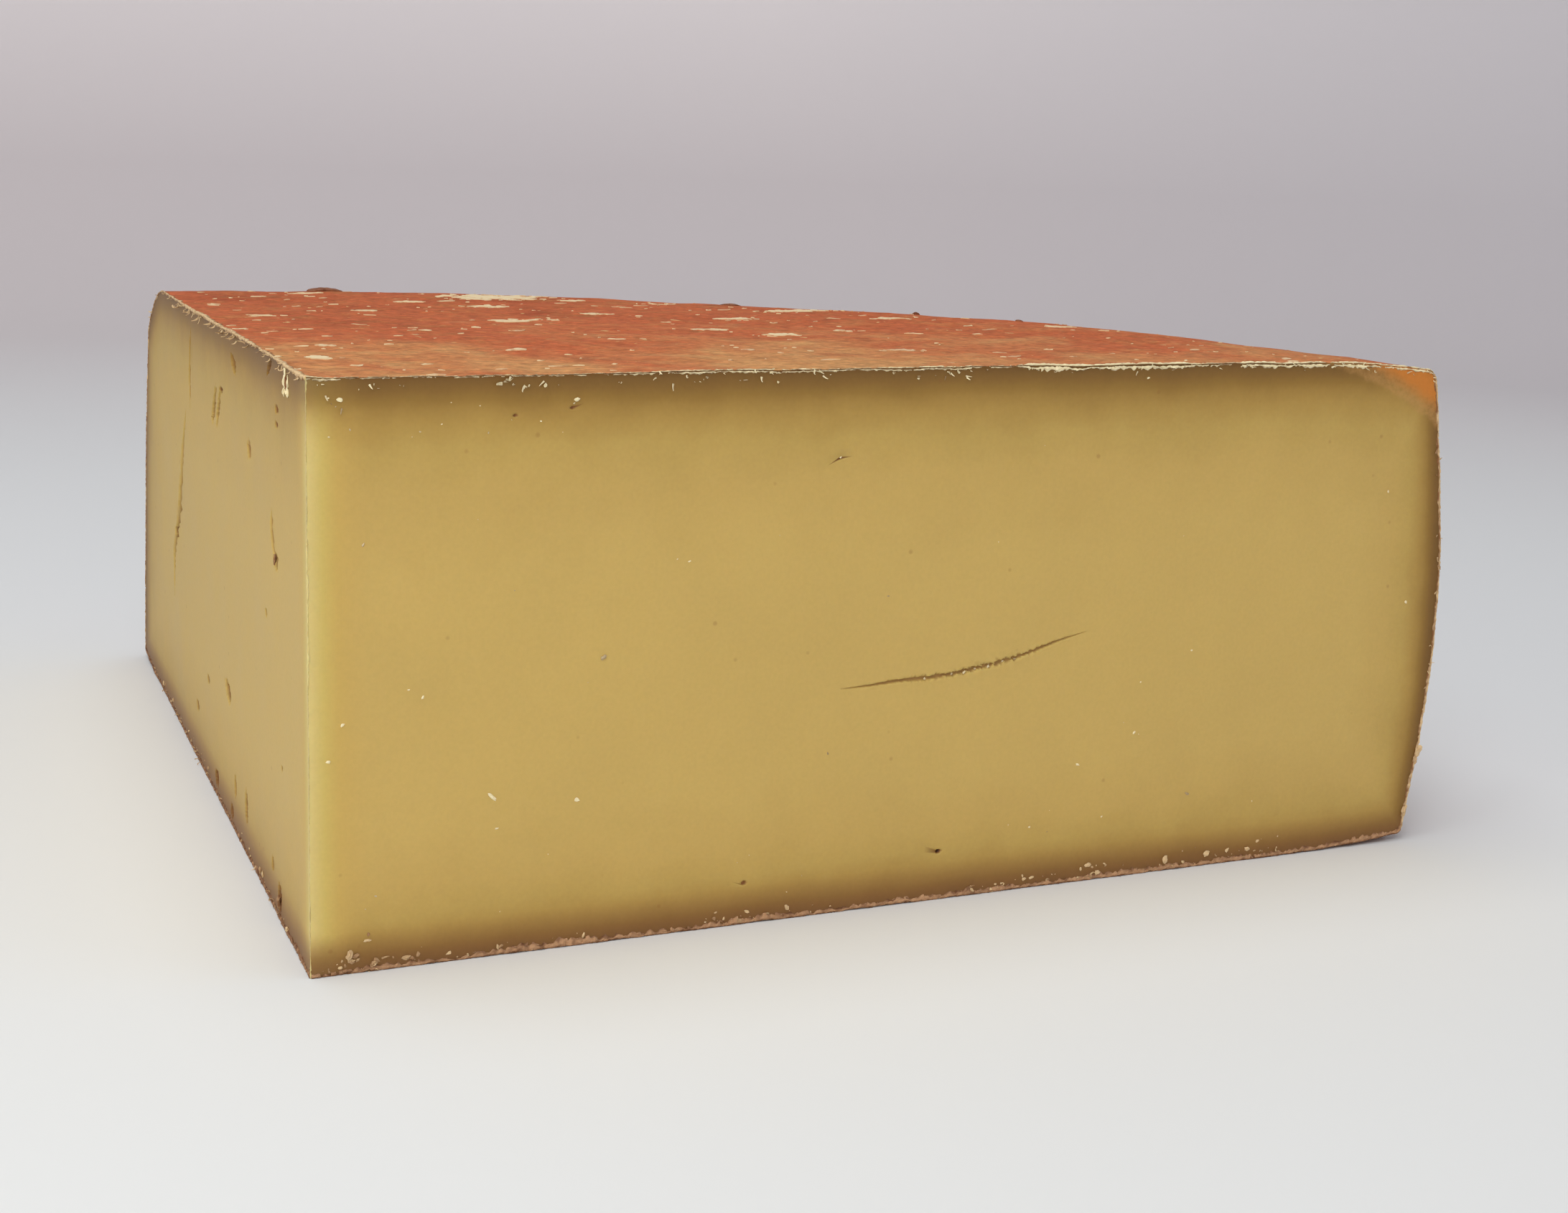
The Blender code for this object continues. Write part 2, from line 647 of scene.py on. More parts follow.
EYES = (
    Eye(Zone.LEFT, 98, 113.0, 3.6, 2.2, 2.4, lean=0.9),
    Eye(Zone.LEFT, 45, 117.6, 2.0, 1.9, 1.8, lean=-1.3),
    Eye(Zone.LEFT, 133, 99.4, 2.3, 5.0, 2.4, lean=-0.7),
    Eye(Zone.LEFT, 125.5, 99.4, 2.2, 5.0, 2.6, lean=-0.7),
    Eye(Zone.LEFT, 120.5, 104.7, 3.6, 0.8, 1.2, lean=-0.6),
    Eye(Zone.LEFT, 36, 109.8, 2.6, 1.0, 0.7, painted_shade=0.6),
    Eye(Zone.LEFT, 36.4, 106.6, 2.0, 0.8, 0.6, painted_shade=0.6),
    Eye(Zone.LEFT, 75, 96.4, 3.0, 2.4, 0.9, painted_shade=0.5),
    Eye(Zone.LEFT, 214, 55, 5.0, 1.6, 2.0),
    Eye(Zone.LEFT, 38.5, 77.8, 3.2, 1.9, 2.2, painted_shade=0.85),
    Eye(Zone.LEFT, 52.8, 64.1, 1.3, 1.0, 1.2),
    Eye(Zone.LEFT, 115, 32.4, 4.2, 2.7, 1.8, lean=0.4, painted_shade=0.85),
    Eye(Zone.LEFT, 152, 27, 2.4, 1.2, 0.8, painted_shade=0.7),
    Eye(Zone.LEFT, 175, 14.6, 3.0, 1.5, 1.0, painted_shade=0.8),
    Eye(Zone.LEFT, 138, 4.6, 3.4, 2.2, 1.6),
    Eye(Zone.LEFT, 105, 11.2, 1.6, 3.0, 1.2, painted_shade=0.8),
    Eye(Zone.LEFT, 87.2, 11.1, 2.2, 4.2, 1.6),
    Eye(Zone.LEFT, 111, 3.4, 2.2, 1.9, 1.6),
    Eye(Zone.LEFT, 34, 34.4, 0.9, 0.7, 0.8),
    Eye(Zone.LEFT, 48, 9.2, 1.8, 1.7, 1.2, painted_shade=0.8),
    Eye(Zone.LEFT, 38.5, 4.4, 2.6, 3.6, 1.4),
    Eye(Zone.FRONT, 143, 11.2, 0.75, 0.55, 0.9),
    Eye(Zone.FRONT, 42, 111.8, 0.7, 0.45, 0.4, painted_shade=0.5),
    Eye(Zone.FRONT, 54, 113.1, 0.6, 0.45, 0.4, painted_shade=0.5),
    Eye(Zone.FRONT, 95, 9.2, 0.8, 0.6, 0.4, painted_shade=0.45),
    Eye(Zone.FRONT, 114.8, 101.2, 0.5, 0.4, 0.4, painted_shade=0.5),
)


@dataclass(frozen=True)
class WaxSmear:
    """The orange, waxy corner of the front cut by the heel, and the curved line where it ends."""

    start_mm: float = 240.0
    level_mm: float = 119.3
    drop: float = 0.075
    bend: float = 1.48

    def inside_mm(self, place: Place) -> float:
        """How far above the smear's lower line a place lies; below the line it is negative."""
        along, up = place
        if along < self.start_mm:
            return FAR_OUTSIDE_MM
        line = self.level_mm - self.drop * (along - self.start_mm) ** self.bend
        return (up - line) * 0.9


SMEAR = WaxSmear()


# ---------------------------------------------------------------------------------------------
# Finishes
# ---------------------------------------------------------------------------------------------


@dataclass(frozen=True)
class PasteFinish:
    """Pressed mountain cheese paste, cut with a wire.

    It is straw yellow and faintly oily, so it takes a soft, low gloss, and light travels a few
    millimetres into it, which rounds every shadow. The cut dries from the rind inwards, and the
    dried paste is olive brown.
    """

    drying: tuple[tuple[float, str], ...] = (
        (0.0, "#704D1E"),
        (1.2, "#7F5C28"),
        (3.0, "#8B672D"),
        (5.0, "#9A7634"),
        (6.8, "#A98540"),
        (9.5, "#B6934A"),
        (15.0, "#C4A458"),
        (23.0, "#CCAB5F"),
        (40.0, "#D1B164"),
    )
    tip_stops: tuple[tuple[float, str], ...] = (
        (0.0, "#E0CB84"),
        (3.0, "#D7BE69"),
        (6.0, "#D3B15E"),
        (10.0, "#D2AD5D"),
    )
    foot_band_tone: str = "#8A5C36"
    # Painted shade: deep brown inside the cracks and eyes, and browner paste round their rims.
    crevice_shade: str = "#4A290D"
    crevice_rim_shade: str = "#87562A"
    smear: str = "#D2812F"
    smear_veil: str = "#C79556"
    speck: str = "#8C5B2C"
    mottle_mm: float = 26.0
    uneven_mm: float = 13.0
    fleck_mm: float = 0.9
    smear_edge_mm: float = 3.0
    scratch_mm: float = 0.9
    speck_gap_mm: float = 11.0
    veil_mm: tuple[float, float] = (-0.4, 1.2)
    film_mm: tuple[float, float] = (1.8, 6.4)
    drag_mm: float = 0.5
    drag_length_mm: float = 22.0
    translucence: float = 0.22
    travel_mm: float = 5.0
    gloss: float = 0.46

    def material(self) -> bpy.types.Material:
        """Build the node material.

        Returns:
            The material of the cut faces.
        """
        material, tree, surface = new_material("hard_cheese_paste")
        where = object_place(tree)
        mottle = speckle(tree, where, self.mottle_mm, 3.0)
        fleck = speckle(tree, where, self.fleck_mm, 2.0)
        base = self.marks(tree, where, self.drying_colour(tree, where))
        shade = worked_out(tree, "MULTIPLY_ADD", mottle, 0.10, 0.88)
        shade = worked_out(tree, "MULTIPLY_ADD", fleck, 0.10, shade)
        shade = worked_out(tree, "SUBTRACT", shade, 0.05)
        tree.links.new(dimmed(tree, base, shade), surface.inputs["Base Color"])
        glow = ranged(tree, attribute(tree, "crevice_shade"), (0.0, 0.5), (self.translucence, 0.0))
        tree.links.new(glow, surface.inputs["Subsurface Weight"])
        surface.inputs["Subsurface Radius"].default_value = (1.0, 0.55, 0.2)
        surface.inputs["Subsurface Scale"].default_value = self.travel_mm * MM
        surface.inputs["IOR"].default_value = 1.45
        surface.inputs["Specular IOR Level"].default_value = 0.38
        rough = worked_out(tree, "MULTIPLY_ADD", mottle, 0.16, self.gloss)
        tree.links.new(rough, surface.inputs["Roughness"])
        tree.links.new(self.grain_normal(tree, where, fleck), surface.inputs["Normal"])
        return material

    def drying_colour(self, tree: Graph, where: Socket) -> Socket:
        """The paste's colour from its dried rim to its heart and its paler tip.

        Args:
            tree: The material's tree.
            where: The place to read patterns at.

        Returns:
            The colour.
        """
        uneven = speckle(tree, where, self.uneven_mm, 4.0, 0.6)
        factor = worked_out(tree, "MULTIPLY_ADD", uneven, 0.6, 0.7)
        depth = worked_out(tree, "MULTIPLY", attribute(tree, "skin_depth"), factor)
        heart = self.banded(tree, depth, self.drying)
        from_tip = attribute(tree, "from_tip")
        tip = self.banded(tree, from_tip, self.tip_stops)
        near = ranged(tree, from_tip, (13.0, 2.0), soft=True)
        moist = ranged(tree, depth, (3.0, 16.0), (0.15, 1.0), soft=True)
        blend = worked_out(tree, "MULTIPLY", near, moist)
        moist_tip = add_node(
            tree, "ShaderNodeMix", {"data_type": "RGBA"}, {0: blend, 6: heart, 7: tip}
        ).outputs[2]
        # Darker towards the foot of each cut face.
        low = ranged(tree, attribute(tree, "underside"), (0.6, 1.0), (0.0, 0.55))
        return tinted(tree, moist_tip, self.foot_band_tone, low)

    @staticmethod
    def banded(tree: Graph, depth: Socket, bands: Sequence[tuple[float, str]]) -> Socket:
        """Colour a depth in millimetres by bands of (depth, hex colour), from 0 to the deepest."""
        deepest = bands[-1][0]
        share = worked_out(tree, "DIVIDE", depth, deepest)
        return coloured(tree, share, [(at / deepest, colour) for at, colour in bands])

    def marks(self, tree: Graph, where: Socket, base: Socket) -> Socket:
        """Lay the smear, the small brown specks and the painted shade of the cracks and eyes over the
        paste.

        Args:
            tree: The material's tree.
            where: The place to read patterns at.
            base: The colour below them.

        Returns:
            The colour with them.
        """
        wander = speckle(tree, where, self.smear_edge_mm, 4.0)
        ragged = worked_out(tree, "MULTIPLY_ADD", wander, 2.4, -1.2)
        edge = worked_out(tree, "ADD", attribute(tree, "smear"), ragged)
        worn = ranged(tree, speckle(tree, where, self.scratch_mm, 3.0), (0.3, 0.6), (0.45, 1.0))
        thin = ranged(tree, edge, self.veil_mm, (0.0, 0.5), soft=True)
        veiled = tinted(tree, base, self.smear_veil, worked_out(tree, "MULTIPLY", thin, worn))
        film = ranged(tree, edge, self.film_mm, (0.0, 0.95), soft=True)
        filmed = tinted(tree, veiled, self.smear, film)
        cells = add_node(
            tree, "ShaderNodeTexVoronoi", {"Scale": 1 / (self.speck_gap_mm * MM)}, {"Vector": where}
        )
        dot = ranged(tree, cells.outputs["Distance"], (0.06, 0.025), (0.0, 0.3))
        dotted = tinted(tree, filmed, self.speck, dot)
        # Painted shade in the cracks and eyes: browner towards their rims, deep brown within.
        crevice_shade = attribute(tree, "crevice_shade")
        rimmed = tinted(tree, dotted, self.crevice_rim_shade, ranged(tree, crevice_shade, (0.05, 0.45)))
        return tinted(tree, rimmed, self.crevice_shade, ranged(tree, crevice_shade, (0.45, 0.9)))

    def grain_normal(self, tree: Graph, where: Socket, fleck: Socket) -> Socket:
        """The wire's drag marks and the paste's fine grain as bump.

        Args:
            tree: The material's tree.
            where: The place to read patterns at.
            fleck: The fine noise.

        Returns:
            The bent normal.
        """
        fine = 1 / (self.drag_mm * MM)
        scale = (fine, fine, 1 / (self.drag_length_mm * MM))
        stretched = add_node(tree, "ShaderNodeMapping", {"Scale": scale}, {"Vector": where}).outputs[0]
        drag = add_node(
            tree, "ShaderNodeTexNoise", {"Scale": 1.0, "Detail": 2.0}, {"Vector": stretched}
        ).outputs["Fac"]
        return bumped(tree, fleck, 0.35, 0.08, bumped(tree, drag, 0.25, 0.06))


@dataclass(frozen=True)
class RindFinish:
    """Washed rind, rubbed with brine for months: a dry, dull crust.

    Its smear grows salmon to brick red where it stays moist and ochre where hands and boards rub
    it, with brown smudges, and pale cream where the smear has dried and lifted.
    """

    salmon: str = "#C0633A"
    brick: str = "#A34827"
    ochre: str = "#CB925B"
    brown: str = "#80502E"
    cream: str = "#DDBB80"
    heel_tone: str = "#A05E35"
    foot_tone: str = "#85532F"
    broad_mm: float = 52.0
    patch_mm: float = 11.0
    freckle_mm: float = 2.2
    dust_mm: float = 0.7
    smudge_mm: float = 19.0
    chip_mm: float = 4.6

    def material(self) -> bpy.types.Material:
        """Build the node material.

        Returns:
            The material of the rind.
        """
        material, tree, surface = new_material("washed_rind_crust")
        where = object_place(tree)
        details = {self.broad_mm: 4.0, self.patch_mm: 5.0, self.freckle_mm: 4.0, self.dust_mm: 2.0}
        noises = {size: speckle(tree, where, size, detail, 0.6, 0.4) for size, detail in details.items()}
        base = self.ground_colour(tree, where, noises)
        cream, colour = self.dried_smear(tree, where, noises, base)
        tree.links.new(colour, surface.inputs["Base Color"])
        surface.inputs["IOR"].default_value = 1.45
        surface.inputs["Specular IOR Level"].default_value = 0.1
        surface.inputs["Subsurface Weight"].default_value = 0.06
        surface.inputs["Subsurface Radius"].default_value = (1.0, 0.4, 0.2)
        surface.inputs["Subsurface Scale"].default_value = 2 * MM
        rough = worked_out(tree, "MULTIPLY_ADD", noises[self.patch_mm], 0.3, 0.58)
        tree.links.new(rough, surface.inputs["Roughness"])
        tree.links.new(self.crust_normal(tree, noises, cream), surface.inputs["Normal"])
        return material

    def ground_colour(self, tree: Graph, where: Socket, noises: dict[float, Socket]) -> Socket:
        """The rind's red, ochre and brown ground.

        Args:
            tree: The material's tree.
            where: The place to read patterns at.
            noises: Noise by lump size.

        Returns:
            The colour.
        """
        axes = add_node(tree, "ShaderNodeSeparateXYZ", links={0: where}).outputs
        back = ranged(tree, axes["Y"], (-0.14, 0.10), (0.0, 0.44))
        redder = worked_out(tree, "ADD", back, noises[self.broad_mm])
        uneven = worked_out(tree, "MULTIPLY_ADD", noises[self.patch_mm], 0.6, -0.3)
        redder = worked_out(tree, "ADD", redder, uneven)
        tones = ((0.34, self.ochre), (0.64, self.salmon), (0.78, self.salmon), (0.98, self.brick))
        rubbed = ranged(tree, noises[self.patch_mm], (0.5, 0.72), (0.0, 0.5))
        ground = tinted(tree, coloured(tree, redder, tones), self.ochre, rubbed)
        ends = (("heelness", self.heel_tone, 0.6), ("underside", self.foot_tone, 0.7))
        for name, tone, weight in ends:
            share = worked_out(tree, "MULTIPLY", attribute(tree, name), weight)
            ground = tinted(tree, ground, tone, share)
        smudge = ranged(tree, speckle(tree, where, self.smudge_mm, 6.0, 0.7), (0.58, 0.74), (0.0, 0.7))
        smudged = tinted(tree, ground, self.brown, smudge)
        return dimmed(tree, smudged, ranged(tree, noises[self.freckle_mm], (0.3, 0.7), (0.68, 1.25)))

    def dried_smear(
        self, tree: Graph, where: Socket, noises: dict[float, Socket], base: Socket
    ) -> tuple[Socket, Socket]:
        """Scatter small cream patches and dust over the ground.

        Args:
            tree: The material's tree.
            where: The place to read patterns at.
            noises: Noise by lump size.
            base: The ground's colour.

        Returns:
            The patches' mask and the colour with them.
        """
        chips = speckle(tree, where, self.chip_mm, 3.0, 0.5, 0.6)
        chips = worked_out(tree, "MULTIPLY_ADD", noises[self.broad_mm], 0.25, chips)
        mask = ranged(tree, chips, (0.84, 0.865))
        dust = ranged(tree, noises[self.dust_mm], (0.69, 0.75), (0.0, 0.35))
        return mask, tinted(tree, base, self.cream, worked_out(tree, "MAXIMUM", mask, dust))

    def crust_normal(self, tree: Graph, noises: dict[float, Socket], cream: Socket) -> Socket:
        """The crust's lumps, its fine roughness and the lifted patches as bump.

        Args:
            tree: The material's tree.
            noises: Noise by lump size.
            cream: The mask of the lifted patches.

        Returns:
            The bent normal.
        """
        normal = None
        for height, strength, distance_mm in (
            (noises[self.patch_mm], 0.6, 0.8),
            (noises[self.freckle_mm], 0.7, 0.5),
            (noises[self.dust_mm], 0.5, 0.12),
            (cream, 0.6, 0.15),
        ):
            normal = bumped(tree, height, strength, distance_mm, normal)
        return normal


@dataclass(frozen=True)
class TornFinish:
    """Torn crust or dried paste: matt and fibrous, pale where it stands up and darker in its folds; on the
    torn lips that darkness in the folds is partly painted shade.
    """

    name: str
    pale: str
    dark: str
    roughness: float = 0.75
    lump_mm: float = 1.3
    glow: float = 0.12

    def material(self) -> bpy.types.Material:
        """Build the node material.

        Returns:
            The material, which reads how pale each point is from the "pale" attribute.
        """
        material, tree, surface = new_material(self.name)
        lumps = speckle(tree, object_place(tree), self.lump_mm, 4.0, 0.65)
        level = worked_out(tree, "MULTIPLY_ADD", lumps, 0.9, -0.45)
        level = worked_out(tree, "ADD", attribute(tree, "pale"), level, clamp=True)
        colour = coloured(tree, level, ((0.1, self.dark), (0.85, self.pale)))
        tree.links.new(colour, surface.inputs["Base Color"])
        surface.inputs["Roughness"].default_value = self.roughness
        surface.inputs["IOR"].default_value = 1.45
        surface.inputs["Subsurface Weight"].default_value = self.glow
        surface.inputs["Subsurface Radius"].default_value = (1.0, 0.6, 0.3)
        surface.inputs["Subsurface Scale"].default_value = 1 * MM
        tree.links.new(bumped(tree, lumps, 0.6, 0.2), surface.inputs["Normal"])
        return material


# ---------------------------------------------------------------------------------------------
# The cheese itself
# ---------------------------------------------------------------------------------------------


@dataclass
class CheeseBody:
    """The whole quarter as one closed skin, with its paste and its rind."""

    form: Quarter
    flaws: Sequence[Fissure | Eye]
    smear: WaxSmear
    across_steps: int = 124
    rise_steps: int = 58
    turn_steps: int = 144
    edge_pull: float = 0.55
    seam_gap_mm: float = 0.004
    least_gap_mm: float = 0.8
    refine_rounds: int = 5
    smear_grain_mm: float = 0.8
    smear_band_mm: float = 6.0
    heel_band_mm: float = 9.0
    foot_band_mm: float = 20.0
    drying_reach: tuple[float, float] = (1.0, 0.75)
    # On the left cut the dried band by the heel reaches further: partly dried paste, partly painted shade
    # on the left face towards the heel.
    heel_drying_and_shade_reach: tuple[float, float] = (0.62, 1.3)
    name: str = "cheese_quarter_skin"

    def build(self, paste: bpy.types.Material, rind: bpy.types.Material) -> bpy.types.Object:
        """Model and dress the quarter.

        Args:
            paste: The cut faces' material.
            rind: The crust's material.

        Returns:
            The piece, which stands for the plain solid.
        """
        mesh = bmesh.new()
        share = mesh.verts.layers.float.new("share")
        rise = mesh.verts.layers.float.new("rise")
        zone = mesh.faces.layers.int.new("zone")
        self.lay_cuts(mesh)
        for side, on_rim in (
            (Zone.TOP, lambda vert: vert[rise] == 1.0),
            (Zone.HEEL, lambda vert: vert[share] == 1.0),
            (Zone.FOOT, lambda vert: vert[rise] == 0.0),
        ):
            self.spin_rim(mesh, side, on_rim)
        bmesh.ops.remove_doubles(mesh, verts=mesh.verts, dist=self.seam_gap_mm * MM)
        for side in (Zone.TOP, Zone.FOOT):
            inner = [
                vert for vert in mesh.verts if all(face[zone] == side.value for face in vert.link_faces)
            ]
            bmesh.ops.remove_doubles(mesh, verts=inner, dist=self.least_gap_mm * MM)
        self.refine(mesh)
        self.shape(mesh)
        self.crease(mesh)
        bmesh.ops.recalc_face_normals(mesh, faces=mesh.faces)
        bmesh.ops.translate(mesh, vec=self.form.tip, verts=mesh.verts)
        piece = publish(mesh, self.name, (paste, rind))
        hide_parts(NODE)
        return piece

    def lay_cuts(self, mesh: bmesh.types.BMesh) -> None:
        """Lay a grid over the front cut, in its plain form, and turn a copy of it to the left cut."""
        share, rise = (mesh.verts.layers.float[name] for name in ("share", "rise"))
        zone = mesh.faces.layers.int["zone"]
        bmesh.ops.create_grid(mesh, x_segments=self.across_steps, y_segments=self.rise_steps, size=0.5)
        for vert in mesh.verts:
            vert[share], vert[rise] = (self.crowded(place + 0.5) for place in vert.co.xy)
            vert.co = self.form.section_point(0.0, vert[share], vert[rise])
        copy = bmesh.ops.duplicate(mesh, geom=[*mesh.verts, *mesh.edges, *mesh.faces])["geom"]
        turned = [part for part in copy if isinstance(part, bmesh.types.BMVert)]
        turn = Matrix.Rotation(self.form.cut_angle, 3, "Z")
        bmesh.ops.rotate(mesh, verts=turned, cent=(0, 0, 0), matrix=turn)
        for part in copy:
            if isinstance(part, bmesh.types.BMFace):
                part[zone] = Zone.LEFT.value

    def crowded(self, share: float) -> float:
        """Crowd evenly spaced shares towards both ends, and keep the ends exact."""
        share = min(max(share, 0.0), 1.0)
        if share in (0.0, 1.0):
            return share
        return share - self.edge_pull * math.sin(2 * math.pi * share) / (2 * math.pi)

    def spin_rim(
        self, mesh: bmesh.types.BMesh, side: Zone, on_rim: Callable[[bmesh.types.BMVert], bool]
    ) -> None:
        """Turn one stretch of the front cut's rim round to the left cut.

        Args:
            mesh: The cuts and the stretches turned before.
            side: The stretch of skin that this makes.
            on_rim: Says whether a vertex lies on that stretch of the rim.
        """
        zone = mesh.faces.layers.int["zone"]
        rim = [
            edge
            for edge in mesh.edges
            if len(edge.link_faces) == 1
            and edge.link_faces[0][zone] == Zone.FRONT.value
            and all(on_rim(vert) for vert in edge.verts)
        ]
        before = set(mesh.faces)
        corners = {vert for edge in rim for vert in edge.verts}
        copied = bmesh.ops.duplicate(mesh, geom=[*corners, *rim])["geom"]
        bmesh.ops.spin(
            mesh,
            geom=copied,
            cent=(0, 0, 0),
            axis=(0, 0, 1),
            angle=self.form.cut_angle,
            steps=self.turn_steps,
        )
        for face in mesh.faces:
            if face not in before:
                face[zone] = side.value

    def refine(self, mesh: bmesh.types.BMesh) -> None:
        """Set the left cut in its own shape, and divide both cuts finely round their flaws."""
        share, rise = (mesh.verts.layers.float[name] for name in ("share", "rise"))
        zone = mesh.faces.layers.int["zone"]
        cuts = (Zone.FRONT.value, Zone.LEFT.value)
        for vert in mesh.verts:
            if any(face[zone] == Zone.LEFT.value for face in vert.link_faces):
                vert.co = self.form.section_point(1.0, vert[share], vert[rise])
        for _ in range(self.refine_rounds):
            bmesh.ops.triangulate(mesh, faces=[face for face in mesh.faces if face[zone] in cuts])
            coarse = self.coarse_edges(mesh, zone)
            bmesh.ops.subdivide_edges(mesh, edges=coarse, cuts=1, use_grid_fill=True)
        bmesh.ops.triangulate(mesh, faces=[face for face in mesh.faces if face[zone] in cuts])

    def coarse_edges(
        self, mesh: bmesh.types.BMesh, zone: bmesh.types.BMLayerItem
    ) -> list[bmesh.types.BMEdge]:
        """Find the edges of the cut faces that are too long for the flaw beside them.

        Args:
            mesh: The skin.
            zone: The layer with each face's stretch of skin.

        Returns:
            The edges to halve.
        """
        spans = {Zone.FRONT: [], Zone.LEFT: []}
        for edge in mesh.edges:
            sides = {Zone(face[zone]) for face in edge.link_faces}
            if len(sides) == 1 and sides <= spans.keys():
                place = self.form.cut_place((edge.verts[0].co + edge.verts[1].co) / 2)
                spans[sides.pop()].append((edge, place, edge.calc_length() / MM))
        coarse = {}
        for flaw in self.flaws:
            near, far, low, high = flaw.box()
            for edge, place, length in spans[flaw.cut]:
                if near < place[0] < far and low < place[1] < high:
                    if length > max(flaw.grain_mm, flaw.distance(place) * 0.8) * 1.4:
                        coarse[edge] = True
        for edge, place, length in spans[Zone.FRONT]:
            away = abs(self.smear.inside_mm(place))
            if away < self.smear_band_mm and length > max(self.smear_grain_mm, away * 0.9):
                coarse[edge] = True
        return list(coarse)

    def shape(self, mesh: bmesh.types.BMesh) -> None:
        """Give every vertex its real place and write what the finishes read."""
        share, rise = (mesh.verts.layers.float[name] for name in ("share", "rise"))
        zone = mesh.faces.layers.int["zone"]
        marks = {
            name: mesh.verts.layers.float.new(name)
            for name in ("skin_depth", "from_tip", "crevice_shade", "smear", "heelness", "underside")
        }
        boxes = [(flaw, flaw.box()) for flaw in self.flaws]
        for vert in mesh.verts:
            zones = {Zone(face[zone]) for face in vert.link_faces}
            turn = 1.0 if Zone.LEFT in zones else self.form.turn_of(vert.co)
            if Zone.FRONT in zones:
                turn = 0.0
            plain = self.form.section_point(turn, vert[share], vert[rise])
            depths = self.form.depths_mm(plain, turn)
            place = self.form.cut_place(plain)
            vert.co = self.form.skin_point(turn, vert[share], vert[rise], tuple(zones))
            # How strong the painted shade of a crack or eye is here.
            crevice_shade = 0.0
            for flaw, (near, far, low, high) in boxes:
                if flaw.cut in zones and near < place[0] < far and low < place[1] < high:
                    dent, dark = flaw.dent(place)
                    crevice_shade = max(crevice_shade, dark)
                    vert.co -= self.form.out_of(flaw.cut, plain) * dent * MM
            # The wider heel reach on the left cut paints shade there as well as drying.
            reaches = (*self.drying_reach, mixed(*self.heel_drying_and_shade_reach, turn))
            vert[marks["skin_depth"]] = min(
                max(depth, 0.0) / reach for depth, reach in zip(depths, reaches, strict=True)
            )
            vert[marks["from_tip"]] = place[0]
            vert[marks["crevice_shade"]] = crevice_shade
            vert[marks["smear"]] = self.smear.inside_mm(place) if Zone.FRONT in zones else FAR_OUTSIDE_MM
            vert[marks["heelness"]] = 1 - smooth(0.0, self.heel_band_mm, depths[2])
            vert[marks["underside"]] = 1 - smooth(0.0, self.foot_band_mm, place[1])

    def crease(self, mesh: bmesh.types.BMesh) -> None:
        """Shade the skin smooth, keep the cuts' rims sharp, and tell paste from rind."""
        zone = mesh.faces.layers.int["zone"]
        cuts = {Zone.FRONT.value, Zone.LEFT.value}
        for face in mesh.faces:
            face.smooth = True
            face.material_index = 0 if face[zone] in cuts else 1
        for edge in mesh.edges:
            sides = {face[zone] for face in edge.link_faces}
            edge.smooth = len(sides) == 1 or not sides & cuts


# ---------------------------------------------------------------------------------------------
# Torn edges, shreds, flakes and crumbs
# ---------------------------------------------------------------------------------------------


def between(stops: Sequence[Place], at: float) -> float:
    """The value at a place along a run of (place, value) stops, straight between them."""
    if at <= stops[0][0]:
        return stops[0][1]
    for (low, first), (high, second) in zip(stops, stops[1:]):
        if at <= high:
            return mixed(first, second, (at - low) / (high - low))
    return stops[-1][1]


def slab(
    mesh: bmesh.types.BMesh, across: int, up: int, is_gone: Callable[[float, float], bool] | None = None
) -> list[bmesh.types.BMVert]:
    """Lay a flat slab, one unit wide each way, that may have ragged gaps.

    Args:
        mesh: Where it is added.
        across: How many cells it has along X.
        up: How many cells it has along Y.
        is_gone: Says whether the cell at a place is left out.

    Returns:
        Its vertices, at z 0 on its upper side and at z -1 on its lower side.
    """
    grid = bmesh.ops.create_grid(mesh, x_segments=across, y_segments=up, size=0.5)["verts"]
    if is_gone:
        cells = dict.fromkeys(face for vert in grid for face in vert.link_faces)
        torn = [cell for cell in cells if is_gone(*cell.calc_center_median().xy)]
        bmesh.ops.delete(mesh, geom=torn, context="FACES")
    upper = [vert for vert in grid if vert.is_valid]
    rim = [vert for vert in upper if vert.is_boundary]
    bmesh.ops.smooth_vert(mesh, verts=rim, factor=0.4, use_axis_x=True, use_axis_y=True, use_axis_z=True)
    cells = dict.fromkeys(face for vert in upper for face in vert.link_faces)
    return upper + thicken(mesh, list(cells))


def thicken(mesh: bmesh.types.BMesh, flat: list[bmesh.types.BMFace]) -> list[bmesh.types.BMVert]:
    """Close flat faces into a body one unit deep, and give the vertices of its lower side."""
    copy = bmesh.ops.extrude_face_region(mesh, geom=flat, use_keep_orig=True)["geom"]
    lower = [part for part in copy if isinstance(part, bmesh.types.BMVert)]
    for vert in lower:
        vert.co.z -= 1.0
    return lower


